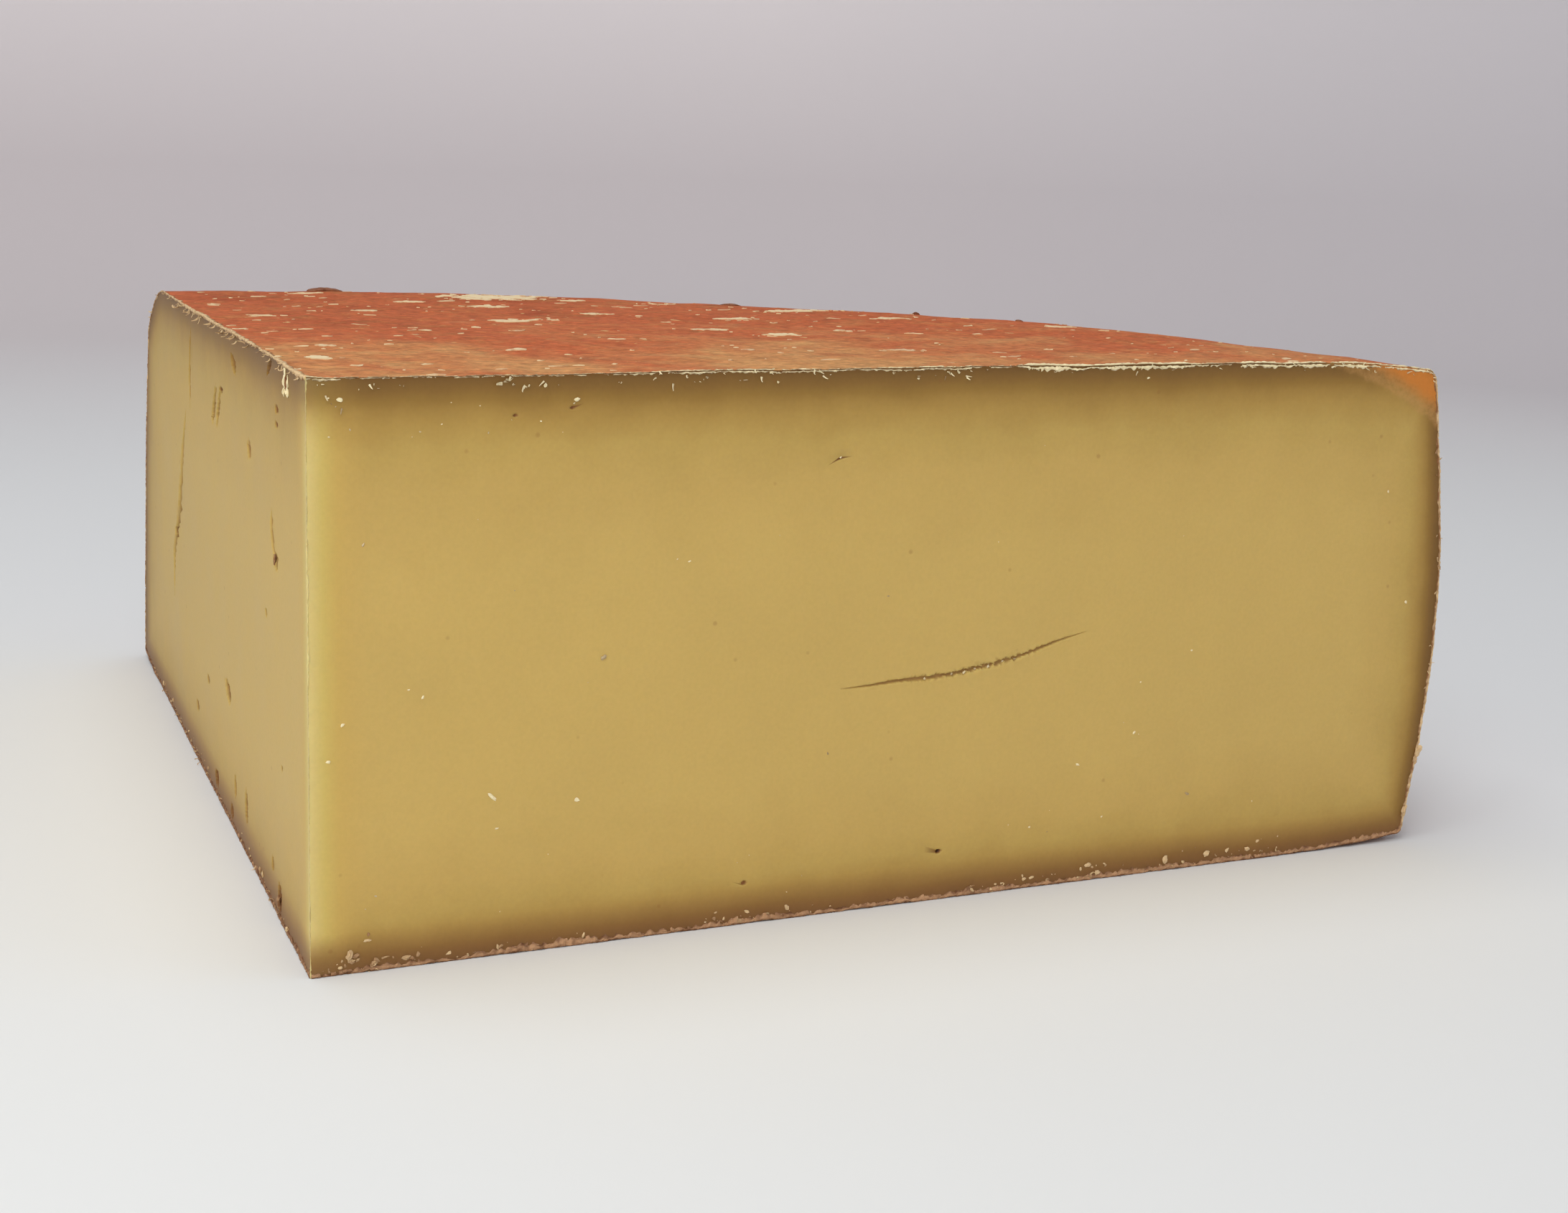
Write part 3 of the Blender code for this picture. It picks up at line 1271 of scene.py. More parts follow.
@dataclass
class TornEdge:
    """A thin torn lip along one rim of a cut, left where the wire came out.

    The profile's points are how far out of the cut and how far out of the side each lies, in
    millimetres, with how pale it is; the low paleness in the groove and at the lip's feet is partly
    painted fold shade and partly darker crust. The strength runs along the rim and scales the lip.
    """

    name: str
    cut: Zone
    side: Zone
    profile: tuple[tuple[float, float, float], ...]
    strength: tuple[Place, ...]
    step_mm: float = 0.4
    fray: float = 0.75
    wall_mm: float = 0.5
    seed: int = 1

    def build(self, form: Quarter, material: bpy.types.Material) -> bpy.types.Object:
        """Model and dress the lip.

        Args:
            form: The quarter it clings to.
            material: Its finish.

        Returns:
            The piece.
        """
        mesh = bmesh.new()
        pale = mesh.verts.layers.float.new("pale")
        length = form.rim_length_mm(self.cut, self.side)
        rows = len(self.profile) - 1
        cells = round(length / self.step_mm)
        for vert in slab(mesh, cells, rows * 2, lambda x, y: self.is_torn((x + 0.5) * length, y)):
            along = min(max(vert.co.x + 0.5, 0.0), 1.0)
            row = (vert.co.y + 0.5) * rows
            vert.co, vert[pale] = self.lay(form, along, along * length, row, vert.co.z)
        bmesh.ops.recalc_face_normals(mesh, faces=mesh.faces)
        bmesh.ops.translate(mesh, vec=form.tip, verts=mesh.verts)
        return publish(mesh, self.name, (material,))

    def is_torn(self, along_mm: float, across: float) -> bool:
        """Whether the lip is torn away at a place along it and across it, from -0.5 to 0.5."""
        level = 0.0
        for size, weight in ((6.0, 0.6), (1.7, 0.5), (0.8, 0.4)):
            here = Vector((along_mm / size, across * 5 / size**0.5, self.seed * size))
            level += weight * noise.noise(here)
        hold = 0.1 + 0.72 * between(self.strength, along_mm)
        return level > hold - self.fray * (2 * across) ** 2

    def lay(
        self, form: Quarter, along: float, along_mm: float, row: float, depth: float
    ) -> tuple[Vector, float]:
        """Where one point of the lip lies and how pale it is.

        Args:
            form: The quarter.
            along: Share of the rim.
            along_mm: The same in millimetres.
            row: How far along the profile, in points.
            depth: 0 on the lip's outer side and -1 on its inner side.

        Returns:
            The point and its paleness.
        """
        step = min(int(row), len(self.profile) - 2)
        out, over, pale = (
            mixed(low, high, row - step)
            for low, high in zip(self.profile[step], self.profile[step + 1], strict=True)
        )
        point = form.rim_point(self.cut, self.side, along)
        out_way, over_way = form.out_of(self.cut, point), form.out_of(self.side, point)
        wave = Vector((along_mm / 3.6, row * 0.3, self.seed * 2.7))
        ripple = Vector((along_mm / 0.95, row * 0.8, self.seed * 9.1))
        strength = between(self.strength, along_mm)
        reach = (0.12 + 0.88 * strength) * (1 + 0.5 * noise.noise(wave) + 0.7 * noise.noise(ripple))
        lump = 0.2 * abs(noise.noise(ripple * 1.6)) + self.wall_mm * depth
        moved = point + (out_way * (out * reach + lump) + over_way * (over * reach + lump)) * MM
        moved.z = max(moved.z, ABOVE_TABLE)
        tone = pale + 0.35 * noise.noise(wave * 1.9) + 0.4 * noise.noise(ripple * 0.8)
        return moved, min(max(tone + 0.9 * (strength - 0.5), 0.0), 1.0)


@dataclass(frozen=True)
class Tuft:
    """A stretch of a rim that carries shreds: where, how many, how long, and how far they hang."""

    cut: Zone
    side: Zone
    start_mm: float
    end_mm: float
    count: int
    longest_mm: float = 2.5
    hang_mm: float = 1.5


@dataclass
class Shreds:
    """Curled slivers of paste and crust that the wire pulled out along the rims."""

    name: str
    tufts: tuple[Tuft, ...]
    segments: int = 9
    wall_mm: float = 0.12
    seed: int = 11

    def build(self, form: Quarter, material: bpy.types.Material) -> bpy.types.Object:
        """Model and dress every sliver.

        Args:
            form: The quarter they cling to.
            material: Their finish.

        Returns:
            The piece.
        """
        chance = random.Random(self.seed)
        mesh = bmesh.new()
        mesh.verts.layers.float.new("pale")
        for tuft in self.tufts:
            length = form.rim_length_mm(tuft.cut, tuft.side)
            for _ in range(tuft.count):
                along = chance.uniform(tuft.start_mm, tuft.end_mm) / length
                root = form.rim_point(tuft.cut, tuft.side, along)
                out, over = form.out_of(tuft.cut, root), form.out_of(tuft.side, root)
                root += out * 0.15 * MM - over * chance.uniform(-0.3, tuft.hang_mm) * MM
                length_mm = tuft.longest_mm * chance.uniform(0.25, 1.0) ** 1.5
                self.curl(mesh, root, out, over, length_mm, chance)
        bmesh.ops.recalc_face_normals(mesh, faces=mesh.faces)
        for vert in mesh.verts:
            vert.co.z = max(vert.co.z, ABOVE_TABLE)
        bmesh.ops.translate(mesh, vec=form.tip, verts=mesh.verts)
        return publish(mesh, self.name, (material,))

    def curl(
        self,
        mesh: bmesh.types.BMesh,
        root: Vector,
        out: Vector,
        over: Vector,
        length_mm: float,
        chance: random.Random,
    ) -> None:
        """Lay one sliver as a narrow strip that tapers and rolls up.

        Args:
            mesh: Where it is added.
            root: Where it clings.
            out: The way out of the cut.
            over: The way out of the side.
            length_mm: Its length.
            chance: Source of its shape.
        """
        pale = mesh.verts.layers.float["pale"]
        along = out.cross(over).normalized()
        heading = (along * chance.uniform(-1, 1) + over * chance.uniform(-1.0, 0.35)).normalized()
        lift = (out + heading * 0.2).normalized()
        aside = heading.cross(lift).normalized()
        roll = chance.uniform(0.6, 3.8)
        width = length_mm * chance.uniform(0.08, 0.22) + 0.06
        tone = chance.uniform(0.3, 1.0)
        for vert in slab(mesh, self.segments, 1):
            share, side = vert.co.x + 0.5, vert.co.y
            bend = roll * share
            ahead = math.sin(bend) / roll * length_mm
            up = (1 - math.cos(bend)) / roll * length_mm
            taper = width * (1 - 0.75 * share) * side * 2
            twist = aside * math.cos(bend * 0.4) + lift * math.sin(bend * 0.4)
            inward = (heading * math.sin(bend) - lift * math.cos(bend)) * (-vert.co.z * self.wall_mm)
            vert.co = root + (heading * ahead + lift * (up + 0.05) + twist * taper + inward) * MM
            vert[pale] = tone


@dataclass(frozen=True)
class Patch:
    """A flake of dried smear or a knot of crust: its middle and half sizes, seen from above.

    The fill says how much of its outline has held, and the dome how far its rim falls away.
    """

    x_mm: float
    y_mm: float
    half_x_mm: float
    half_y_mm: float
    fill: float = 0.5
    tone: float = 0.85
    lift_mm: float = 0.14
    dome: float = 0.0


@dataclass
class RindFlakes:
    """Ragged islands and small chips that lie on the upper rind and lift off it a little."""

    name: str
    patches: tuple[Patch, ...]
    small_count: int = 0
    cell_mm: float = 0.6
    bury_mm: float = 0.4
    small_mm: tuple[float, float] = (0.2, 1.0)
    chip_corners: int = 8
    seed: int = 23

    def build(self, form: Quarter, material: bpy.types.Material) -> bpy.types.Object:
        """Model and dress the flakes.

        Args:
            form: The quarter they lie on.
            material: Their finish.

        Returns:
            The piece.
        """
        chance = random.Random(self.seed)
        mesh = bmesh.new()
        mesh.verts.layers.float.new("pale")
        for number, patch in enumerate(self.patches):
            self.lay_patch(mesh, form, patch, number)
        for _ in range(self.small_count):
            self.lay_chip(mesh, form, chance)
        bmesh.ops.recalc_face_normals(mesh, faces=mesh.faces)
        bmesh.ops.translate(mesh, vec=form.tip, verts=mesh.verts)
        return publish(mesh, self.name, (material,))

    def lay_patch(self, mesh: bmesh.types.BMesh, form: Quarter, patch: Patch, number: int) -> None:
        """Lay one patch: a draped grid that keeps only a ragged island.

        Args:
            mesh: Where it is added.
            form: The quarter.
            patch: The flake or knot.
            number: Picks its outline.
        """
        pale = mesh.verts.layers.float["pale"]
        width, depth = 2 * patch.half_x_mm, 2 * patch.half_y_mm

        def is_gone(x: float, y: float) -> bool:
            """Whether the patch has broken away at a place."""
            here = Vector((x * width, y * depth, number * 4.7))
            ragged = noise.noise(here / 4.2) + 0.6 * noise.noise(here / 1.5)
            return 2 * math.hypot(x, y) + 0.85 * ragged > 0.35 + patch.fill

        cells = (max(round(size / self.cell_mm), 4) for size in (width, depth))
        for vert in slab(mesh, *cells, is_gone):
            x, y = vert.co.x * width, vert.co.y * depth
            lift = patch.lift_mm + 0.2 * abs(noise.noise(Vector((x / 2.2, y / 2.2, number * 2.9))))
            sunk = 4 * patch.dome * patch.lift_mm * vert.co.xy.length_squared
            above = lift - sunk + (patch.lift_mm + self.bury_mm) * vert.co.z
            vert.co = form.on_top(patch.x_mm + x, patch.y_mm + y, above)
            vert[pale] = patch.tone + 0.2 * noise.noise(Vector((x / 3, y / 3, number * 1.9)))

    def lay_chip(self, mesh: bmesh.types.BMesh, form: Quarter, chance: random.Random) -> None:
        """Scatter one small chip somewhere on the upper rind."""
        pale = mesh.verts.layers.float["pale"]
        turn, share = chance.uniform(0.01, 0.99), chance.random() ** 0.55 * 0.985
        middle = form.section_point(turn, share, 1.0) / MM
        size = mixed(*self.small_mm, chance.random() ** 2.2)
        stretch = chance.uniform(1.0, 3.0)
        spin = chance.uniform(-0.5, 0.5)
        tone = chance.uniform(0.35, 1.0)
        ring = bmesh.ops.create_circle(
            mesh, cap_ends=True, cap_tris=True, segments=self.chip_corners, radius=1.0
        )["verts"]
        for vert in ring:
            vert.co *= chance.uniform(0.55, 1.25)
        cells = dict.fromkeys(face for vert in ring for face in vert.link_faces)
        for vert in [*ring, *thicken(mesh, list(cells))]:
            x, y = vert.co.x * size * stretch, vert.co.y * size
            across = x * math.cos(spin) - y * math.sin(spin)
            along = x * math.sin(spin) + y * math.cos(spin)
            above = chance.uniform(0.05, 0.25) + self.bury_mm * vert.co.z
            vert.co = form.on_top(middle.x + across, middle.y + along, above)
            vert[pale] = tone


@dataclass(frozen=True)
class Crumb:
    """A crumb that clings to a cut face: where it is, its half sizes, its tilt and its tone."""

    cut: Zone
    along_mm: float
    up_mm: float
    half_long_mm: float
    half_wide_mm: float
    tilt: float = 0.0
    tone: float = 0.9


@dataclass
class Crumbs:
    """Loose crumbs of paste and crust that cling to the cut faces."""

    name: str
    placed: tuple[Crumb, ...]
    scatter: tuple[tuple[Zone, float, float, float, float, int], ...] = ()
    seed: int = 31

    def build(self, form: Quarter, material: bpy.types.Material) -> bpy.types.Object:
        """Model and dress the crumbs.

        Args:
            form: The quarter they cling to.
            material: Their finish.

        Returns:
            The piece.
        """
        chance = random.Random(self.seed)
        mesh = bmesh.new()
        mesh.verts.layers.float.new("pale")
        crumbs = list(self.placed)
        for cut, start, end, low, high, count in self.scatter:
            for _ in range(count):
                size = 0.1 + 0.45 * chance.random() ** 2.5
                up = mixed(low, high, chance.random() ** 1.6)
                place = (chance.uniform(start, end), up)
                half_long = size * chance.uniform(1, 2)
                tilt = chance.uniform(-1.5, 1.5)
                crumbs.append(Crumb(cut, *place, half_long, size, tilt, chance.uniform(0.3, 1)))
        for crumb in crumbs:
            self.stick(mesh, form, crumb, chance)
        for vert in mesh.verts:
            vert.co.z = max(vert.co.z, ABOVE_TABLE)
        bmesh.ops.recalc_face_normals(mesh, faces=mesh.faces)
        bmesh.ops.translate(mesh, vec=form.tip, verts=mesh.verts)
        return publish(mesh, self.name, (material,))

    def stick(self, mesh: bmesh.types.BMesh, form: Quarter, crumb: Crumb, chance: random.Random) -> None:
        """Stick one crumb to its face.

        Args:
            mesh: Where it is added.
            form: The quarter.
            crumb: The crumb.
            chance: Source of its lumps.
        """
        pale = mesh.verts.layers.float["pale"]
        plain = form.on_cut(crumb.cut, crumb.along_mm, crumb.up_mm)
        out = form.out_of(crumb.cut, plain)
        middle = plain + out * form.relief(crumb.cut, plain)
        ahead = Vector((1, 0, 0))
        if crumb.cut is Zone.LEFT:
            ahead = Vector((0, 0, 1)).cross(out).normalized()
        long = ahead * math.cos(crumb.tilt) + Vector((0, 0, math.sin(crumb.tilt)))
        wide = out.cross(long)
        fine = 2 if crumb.half_long_mm > 0.7 else 1
        ball = bmesh.ops.create_icosphere(mesh, subdivisions=fine, radius=1.0)["verts"]
        for vert in ball:
            jag = chance.uniform(0.6, 1.25)
            place = long * vert.co.x * crumb.half_long_mm + wide * vert.co.y * crumb.half_wide_mm
            place += out * (vert.co.z * 0.6 + 0.25) * crumb.half_wide_mm
            vert.co = middle + place * jag * MM
            vert[pale] = crumb.tone


# In the lip profiles below, the paleness falls in the groove and at each lip's feet: painted shade in those
# folds, over the crust's own darker tone.
TOP_FRONT_LIP = TornEdge(
    "torn_lip_top_front",
    Zone.FRONT,
    Zone.TOP,
    (
        (-1.7, 0.03, 0.25),
        (-1.0, 0.28, 0.6),
        (-0.35, 0.42, 0.95),
        (0.1, 0.38, 1.0),
        (0.15, 0.1, 0.5),
        (-0.2, -0.2, 0.0),
        (-0.2, -0.5, 0.0),
        (0.25, -0.62, 0.8),
        (0.42, -0.8, 1.0),
        (0.2, -1.0, 0.7),
        (0.02, -1.15, 0.2),
    ),
    (
        (0, 0.35), (6, 0.25), (9, 0.1), (60, 0.12), (70, 0.25), (84, 0.4), (108, 0.35),
        (116, 0.1), (124, 0.35), (142, 0.4), (150, 0.12), (158, 0.2), (161, 0.85), (174, 0.8),
        (177, 0.5), (180, 0.8), (200, 0.7), (207, 0.45), (212, 0.15), (216, 0.3), (218, 0.75),
        (222, 0.5), (226, 0.7), (238, 0.6), (243, 0.45), (250, 0.7), (256, 0.5), (262, 0.55),
        (275, 0.45),
    ),
    seed=2,
)
TOP_LEFT_LIP = TornEdge(
    "torn_lip_top_left",
    Zone.LEFT,
    Zone.TOP,
    (
        (-1.5, 0.03, 0.1),
        (-0.7, 0.22, 0.4),
        (0.0, 0.25, 0.75),
        (0.3, -0.02, 0.75),
        (0.3, -0.5, 0.5),
        (0.02, -1.0, 0.1),
    ),
    (
        (0, 0.7), (20, 0.55), (60, 0.4), (75, 0.55), (110, 0.5),
        (150, 0.62), (190, 0.5), (230, 0.35), (277, 0.35),
    ),
    fray=1.0,
    seed=3,
)
FOOT_FRONT_LIP = TornEdge(
    "torn_lip_foot_front",
    Zone.FRONT,
    Zone.FOOT,
    (
        (-0.3, 0.0, 0.0),
        (0.4, -0.05, 0.1),
        (0.65, -0.45, 0.35),
        (0.6, -0.95, 0.8),
        (0.35, -1.5, 0.7),
        (0.02, -2.1, 0.2),
    ),
    (
        (0, 0.4), (8, 0.3), (16, 0.5), (30, 0.35), (42, 0.55), (56, 0.65), (75, 0.4), (95, 0.6), (112, 0.4),
        (150, 0.5), (170, 0.42), (205, 0.55), (240, 0.4), (276, 0.5),
    ),
    seed=5,
)
FOOT_LEFT_LIP = TornEdge(
    "torn_lip_foot_left",
    Zone.LEFT,
    Zone.FOOT,
    ((-0.3, 0.0, 0.05), (0.35, -0.05, 0.2), (0.5, -0.6, 0.45), (0.35, -1.3, 0.4), (0.02, -2.0, 0.1)),
    ((0, 0.45), (306, 0.4)),
    seed=7,
)
HEEL_FRONT_LIP = TornEdge(
    "torn_lip_heel_front",
    Zone.FRONT,
    Zone.HEEL,
    (
        (-1.4, 0.05, 0.2),
        (-0.6, 0.3, 0.6),
        (0.15, 0.3, 0.9),
        (0.35, -0.15, 0.7),
        (0.2, -0.7, 0.4),
        (0.02, -1.1, 0.1),
    ),
    ((0, 0.5), (30, 0.5), (70, 0.3), (112, 0.45), (120, 0.3)),
    seed=9,
)
HEEL_LEFT_LIP = TornEdge(
    "torn_lip_heel_left",
    Zone.LEFT,
    Zone.HEEL,
    ((-1.2, 0.05, 0.2), (-0.5, 0.25, 0.6), (0.15, 0.25, 0.9), (0.3, -0.2, 0.6), (0.02, -0.9, 0.2)),
    ((0, 0.4), (120, 0.35)),
    seed=13,
)
TIP_LIP = TornEdge(
    "torn_lip_tip",
    Zone.FRONT,
    Zone.LEFT,
    ((-0.8, 0.02, 0.8), (-0.3, 0.16, 0.95), (0.08, 0.16, 1.0), (0.2, -0.1, 0.95), (0.02, -0.6, 0.8)),
    ((0, 0.3), (8, 0.05), (58, 0.05), (64, 0.55), (72, 0.2), (84, 0.5), (94, 0.1), (114, 0.05), (120, 0.3)),
    wall_mm=0.3,
    seed=17,
)

FRONT_TUFTS = (
    Tuft(Zone.FRONT, Zone.TOP, 1, 7, 6, 1.9, 6.0),
    Tuft(Zone.FRONT, Zone.TOP, 8, 66, 14, 1.6, 2.2),
    Tuft(Zone.FRONT, Zone.TOP, 38, 52, 9, 2.6, 2.6),
    Tuft(Zone.FRONT, Zone.TOP, 66, 112, 20, 1.7, 2.8),
    Tuft(Zone.FRONT, Zone.TOP, 126, 152, 14, 1.8, 2.6),
    Tuft(Zone.FRONT, Zone.TOP, 160, 275, 30, 1.3, 1.6),
)
CRUST_TUFTS = (
    Tuft(Zone.LEFT, Zone.TOP, 5, 60, 18, 2.0, 1.4),
    Tuft(Zone.LEFT, Zone.TOP, 60, 205, 46, 2.6, 1.5),
    Tuft(Zone.LEFT, Zone.TOP, 205, 275, 10, 1.6, 1.2),
    Tuft(Zone.FRONT, Zone.FOOT, 3, 60, 10, 1.8, 2.5),
    Tuft(Zone.FRONT, Zone.FOOT, 80, 240, 26, 1.8, 2.5),
    Tuft(Zone.LEFT, Zone.FOOT, 10, 290, 22, 2.0, 2.0),
    Tuft(Zone.FRONT, Zone.HEEL, 4, 116, 16, 1.5, 1.2),
)

PATCHES = (
    Patch(109, 208, 17, 11, 0.42, 1.0),
    Patch(80, 193, 5, 2.6, 0.45, 1.0),
    Patch(95, 178, 8, 5, 0.3),
    Patch(128, 198, 5, 2.5, 0.4),
    Patch(89, 130, 11, 4, 0.26),
    Patch(139, 84, 7, 3, 0.24),
    Patch(128, 99, 6, 2.5, 0.28),
    Patch(181, 158, 15, 4, 0.34),
    Patch(11, 37, 4, 4, 0.33, 0.9),
    Patch(42, 215, 6, 3, 0.12),
    Patch(60, 228, 7, 3, 0.12),
    Patch(24, 190, 6, 2.5, 0.1),
    Patch(30, 150, 6, 3, 0.05),
    Patch(58, 165, 6, 3, 0.1),
    Patch(12, 110, 4, 4, 0.0),
    Patch(22, 62, 5, 3, 0.05, 0.7),
    Patch(58, 50, 7, 3, 0.0, 0.7),
    Patch(118, 150, 8, 4, 0.08),
    Patch(150, 190, 8, 4, 0.12),
    Patch(150, 130, 8, 4, 0.05),
    Patch(168, 95, 8, 4, 0.05, 0.7),
    Patch(196, 130, 8, 3.5, 0.14),
    Patch(232, 100, 8, 4, 0.08),
    Patch(70, 110, 6, 3, 0.05, 0.7),
    Patch(150, 40, 8, 4, 0.0, 0.6),
)
CRUST_LUMPS = (
    Patch(67, 238, 5, 3.5, 0.8, 0.35, 1.0, 0.6),
    Patch(175, 189, 3, 2.5, 0.8, 0.3, 0.55, 0.8),
    Patch(217, 153, 1.0, 1.4, 0.8, 0.3, 0.85, 0.7),
    Patch(235, 126, 1.0, 1.2, 0.8, 0.3, 0.5, 0.7),
)

PASTE_CRUMBS = (
    Crumb(Zone.FRONT, 37.7, 34, 1.2, 0.38, -0.8, 1.0),
    Crumb(Zone.FRONT, 38.7, 27.2, 0.45, 0.25, 0.4, 0.8),
    Crumb(Zone.FRONT, 23, 55.9, 0.5, 0.3, 1.2, 1.0),
    Crumb(Zone.FRONT, 20.1, 57.7, 0.3, 0.2, 0.0, 0.9),
    Crumb(Zone.FRONT, 6.7, 51.6, 0.6, 0.4, 0.5, 1.0),
    Crumb(Zone.FRONT, 3.8, 44.3, 0.5, 0.35, 0.2, 1.0),
    Crumb(Zone.FRONT, 80.4, 80.6, 0.45, 0.25, 0.3, 1.0),
    Crumb(Zone.FRONT, 179, 28.2, 0.6, 0.35, -0.5, 1.0),
    Crumb(Zone.FRONT, 194.1, 34.6, 0.5, 0.3, 0.7, 1.0),
    Crumb(Zone.FRONT, 166.8, 14.5, 0.4, 0.25, 0.2, 0.9),
    Crumb(Zone.FRONT, 114.7, 101.3, 0.35, 0.2, 0.9, 0.8),
    Crumb(Zone.FRONT, 195.1, 46.5, 0.3, 0.2, 0.0, 0.9),
    Crumb(Zone.FRONT, 208.9, 53.1, 0.35, 0.22, 0.0, 0.9),
    Crumb(Zone.FRONT, 186.4, 15, 0.35, 0.22, 0.6, 0.9),
    Crumb(Zone.FRONT, 192, 117.0, 0.45, 0.35, 0.2, 1.0),
    Crumb(Zone.LEFT, 23.6, 118.6, 1.2, 0.5, 1.5, 0.9),
    Crumb(Zone.LEFT, 25.2, 116.6, 1.3, 0.5, 1.75, 1.0),
    Crumb(Zone.LEFT, 24.6, 114.7, 1.1, 0.6, 1.3, 1.0),
    Crumb(Zone.LEFT, 20.4, 117.0, 1.3, 0.45, 1.6, 0.8),
    Crumb(Zone.LEFT, 20.8, 114.9, 1.0, 0.6, 1.9, 1.0),
    Crumb(Zone.FRONT, 137.4, 51.5, 0.4, 0.28, 0.9, 0.6),
    Crumb(Zone.FRONT, 144.2, 52.1, 0.35, 0.25, 0.5, 0.5),
    Crumb(Zone.FRONT, 147.4, 52.2, 0.5, 0.3, 0.7, 0.7),
    Crumb(Zone.FRONT, 150.2, 52.9, 0.35, 0.22, 0.4, 0.5),
    Crumb(Zone.FRONT, 153.6, 53.2, 0.45, 0.28, 0.8, 0.6),
    Crumb(Zone.FRONT, 157.3, 54.1, 0.35, 0.22, 0.6, 0.5),
    Crumb(Zone.FRONT, 160.4, 54.4, 0.35, 0.22, 0.3, 0.5),
)
CRUST_CRUMBS = (
    Crumb(Zone.FRONT, 279.6, 22.9, 1.7, 0.9, 1.2, 0.8),
    Crumb(Zone.FRONT, 278.8, 20.6, 1.1, 0.7, 1.6, 0.6),
    Crumb(Zone.FRONT, 276.6, 7.5, 1.9, 0.8, 1.4, 0.7),
    Crumb(Zone.FRONT, 7.8, 3.9, 1.2, 0.6, 1.3, 0.6),
    Crumb(Zone.FRONT, 9.2, 3.6, 0.9, 0.5, 0.4, 0.35),
    Crumb(Zone.FRONT, 8.2, 2.5, 0.8, 0.5, -0.5, 0.45),
    Crumb(Zone.FRONT, 9.6, 2.7, 0.6, 0.4, 0.9, 0.5),
    Crumb(Zone.FRONT, 19.6, 2.0, 1.0, 0.5, 0.2, 0.5),
    Crumb(Zone.FRONT, 20.9, 1.7, 0.7, 0.5, -0.4, 0.3),
    Crumb(Zone.FRONT, 12.9, 1.5, 0.8, 0.6, 0.5, 0.4),
    Crumb(Zone.FRONT, 11.6, 6.6, 0.8, 0.3, 0.1, 0.9),
    Crumb(Zone.FRONT, 11.8, 7.8, 0.5, 0.3, 1.4, 0.2),
    Crumb(Zone.FRONT, 205, 2.6, 1.0, 0.8, 0.8, 0.9),
    Crumb(Zone.FRONT, 217, 2.8, 0.9, 0.7, 0.2, 0.85),
    Crumb(Zone.FRONT, 223, 3.0, 0.7, 0.5, 0.9, 0.9),
    Crumb(Zone.FRONT, 229, 2.8, 0.8, 0.6, 0.0, 0.9),
    Crumb(Zone.FRONT, 232, 4.4, 0.6, 0.4, 0.5, 0.8),
    Crumb(Zone.FRONT, 186, 1.6, 0.8, 0.6, 0.3, 0.8),
    Crumb(Zone.FRONT, 166, 2.1, 0.7, 0.5, 0.3, 0.8),
    Crumb(Zone.LEFT, 22.8, 116.4, 1.5, 0.5, 1.55, 0.0),
    Crumb(Zone.LEFT, 38.5, 78.2, 1.2, 0.6, 1.3, 0.2),
    Crumb(Zone.LEFT, 38.5, 3.8, 1.9, 0.8, 1.3, 0.2),
    Crumb(Zone.LEFT, 28, 0.9, 1.1, 0.6, 0.5, 1.0),
)
PASTE_SCATTER = ((Zone.FRONT, 2, 274, 6, 116, 30), (Zone.FRONT, 3, 60, 108, 119, 16))
CRUST_SCATTER = (
    (Zone.FRONT, 2, 60, 0.3, 4, 34),
    (Zone.FRONT, 84, 112, 0.3, 3.5, 24),
    (Zone.FRONT, 148, 190, 0.3, 4, 30),
    (Zone.FRONT, 196, 240, 0.3, 5, 28),
    (Zone.LEFT, 10, 280, 0.3, 3, 50),
)


# ---------------------------------------------------------------------------------------------
# The studio
# ---------------------------------------------------------------------------------------------


@dataclass(frozen=True)
class PaperFinish:
    """Pale matt paper sweep, nearly white, with a faint tooth and no gloss. Its colour is not even: it
    carries painted shade further out and towards the right, and painted light high on the wall.
    """

    near: str = "#E8E9EA"
    # Painted shade: the paper turns a little darker and pinker towards the far radius.
    far: str = "#E8E0E1"
    # Painted shade on the paper towards the right, along X.
    shaded: str = "#D6D4D9"
    # Painted light: a brighter band high on the wall.
    upper: str = "#FFF8F8"
    near_radius: float = 0.45
    far_radius: float = 1.75
    painted_light_heights: tuple[float, float] = (0.13, 0.31)
    painted_shade_from: tuple[float, float] = (0.8, 1.9)
    tooth_mm: float = 2.5

    def material(self) -> bpy.types.Material:
        """Build the node material.

        Returns:
            The material of the sweep.
        """
        material, tree, surface = new_material("matt_studio_paper")
        where = object_place(tree)
        away = add_node(tree, "ShaderNodeVectorMath", {"operation": "LENGTH"}, {0: where})
        # Painted shade further out from the middle.
        share = ranged(tree, away.outputs["Value"], (self.near_radius, self.far_radius), soft=True)
        tones = {"data_type": "RGBA", 6: linear(self.near), 7: linear(self.far)}
        tone = add_node(tree, "ShaderNodeMix", tones, {0: share}).outputs[2]
        axes = add_node(tree, "ShaderNodeSeparateXYZ", links={0: where}).outputs
        # Painted light high on the wall.
        tone = tinted(tree, tone, self.upper, ranged(tree, axes["Z"], self.painted_light_heights))
        # Painted shade towards the right.
        tone = tinted(tree, tone, self.shaded, ranged(tree, axes["X"], self.painted_shade_from))
        tree.links.new(tone, surface.inputs["Base Color"])
        surface.inputs["Roughness"].default_value = 0.9
        surface.inputs["Specular IOR Level"].default_value = 0.2
        tooth = speckle(tree, where, self.tooth_mm, 2.0)
        tree.links.new(bumped(tree, tooth, 0.1, 0.1), surface.inputs["Normal"])
        return material


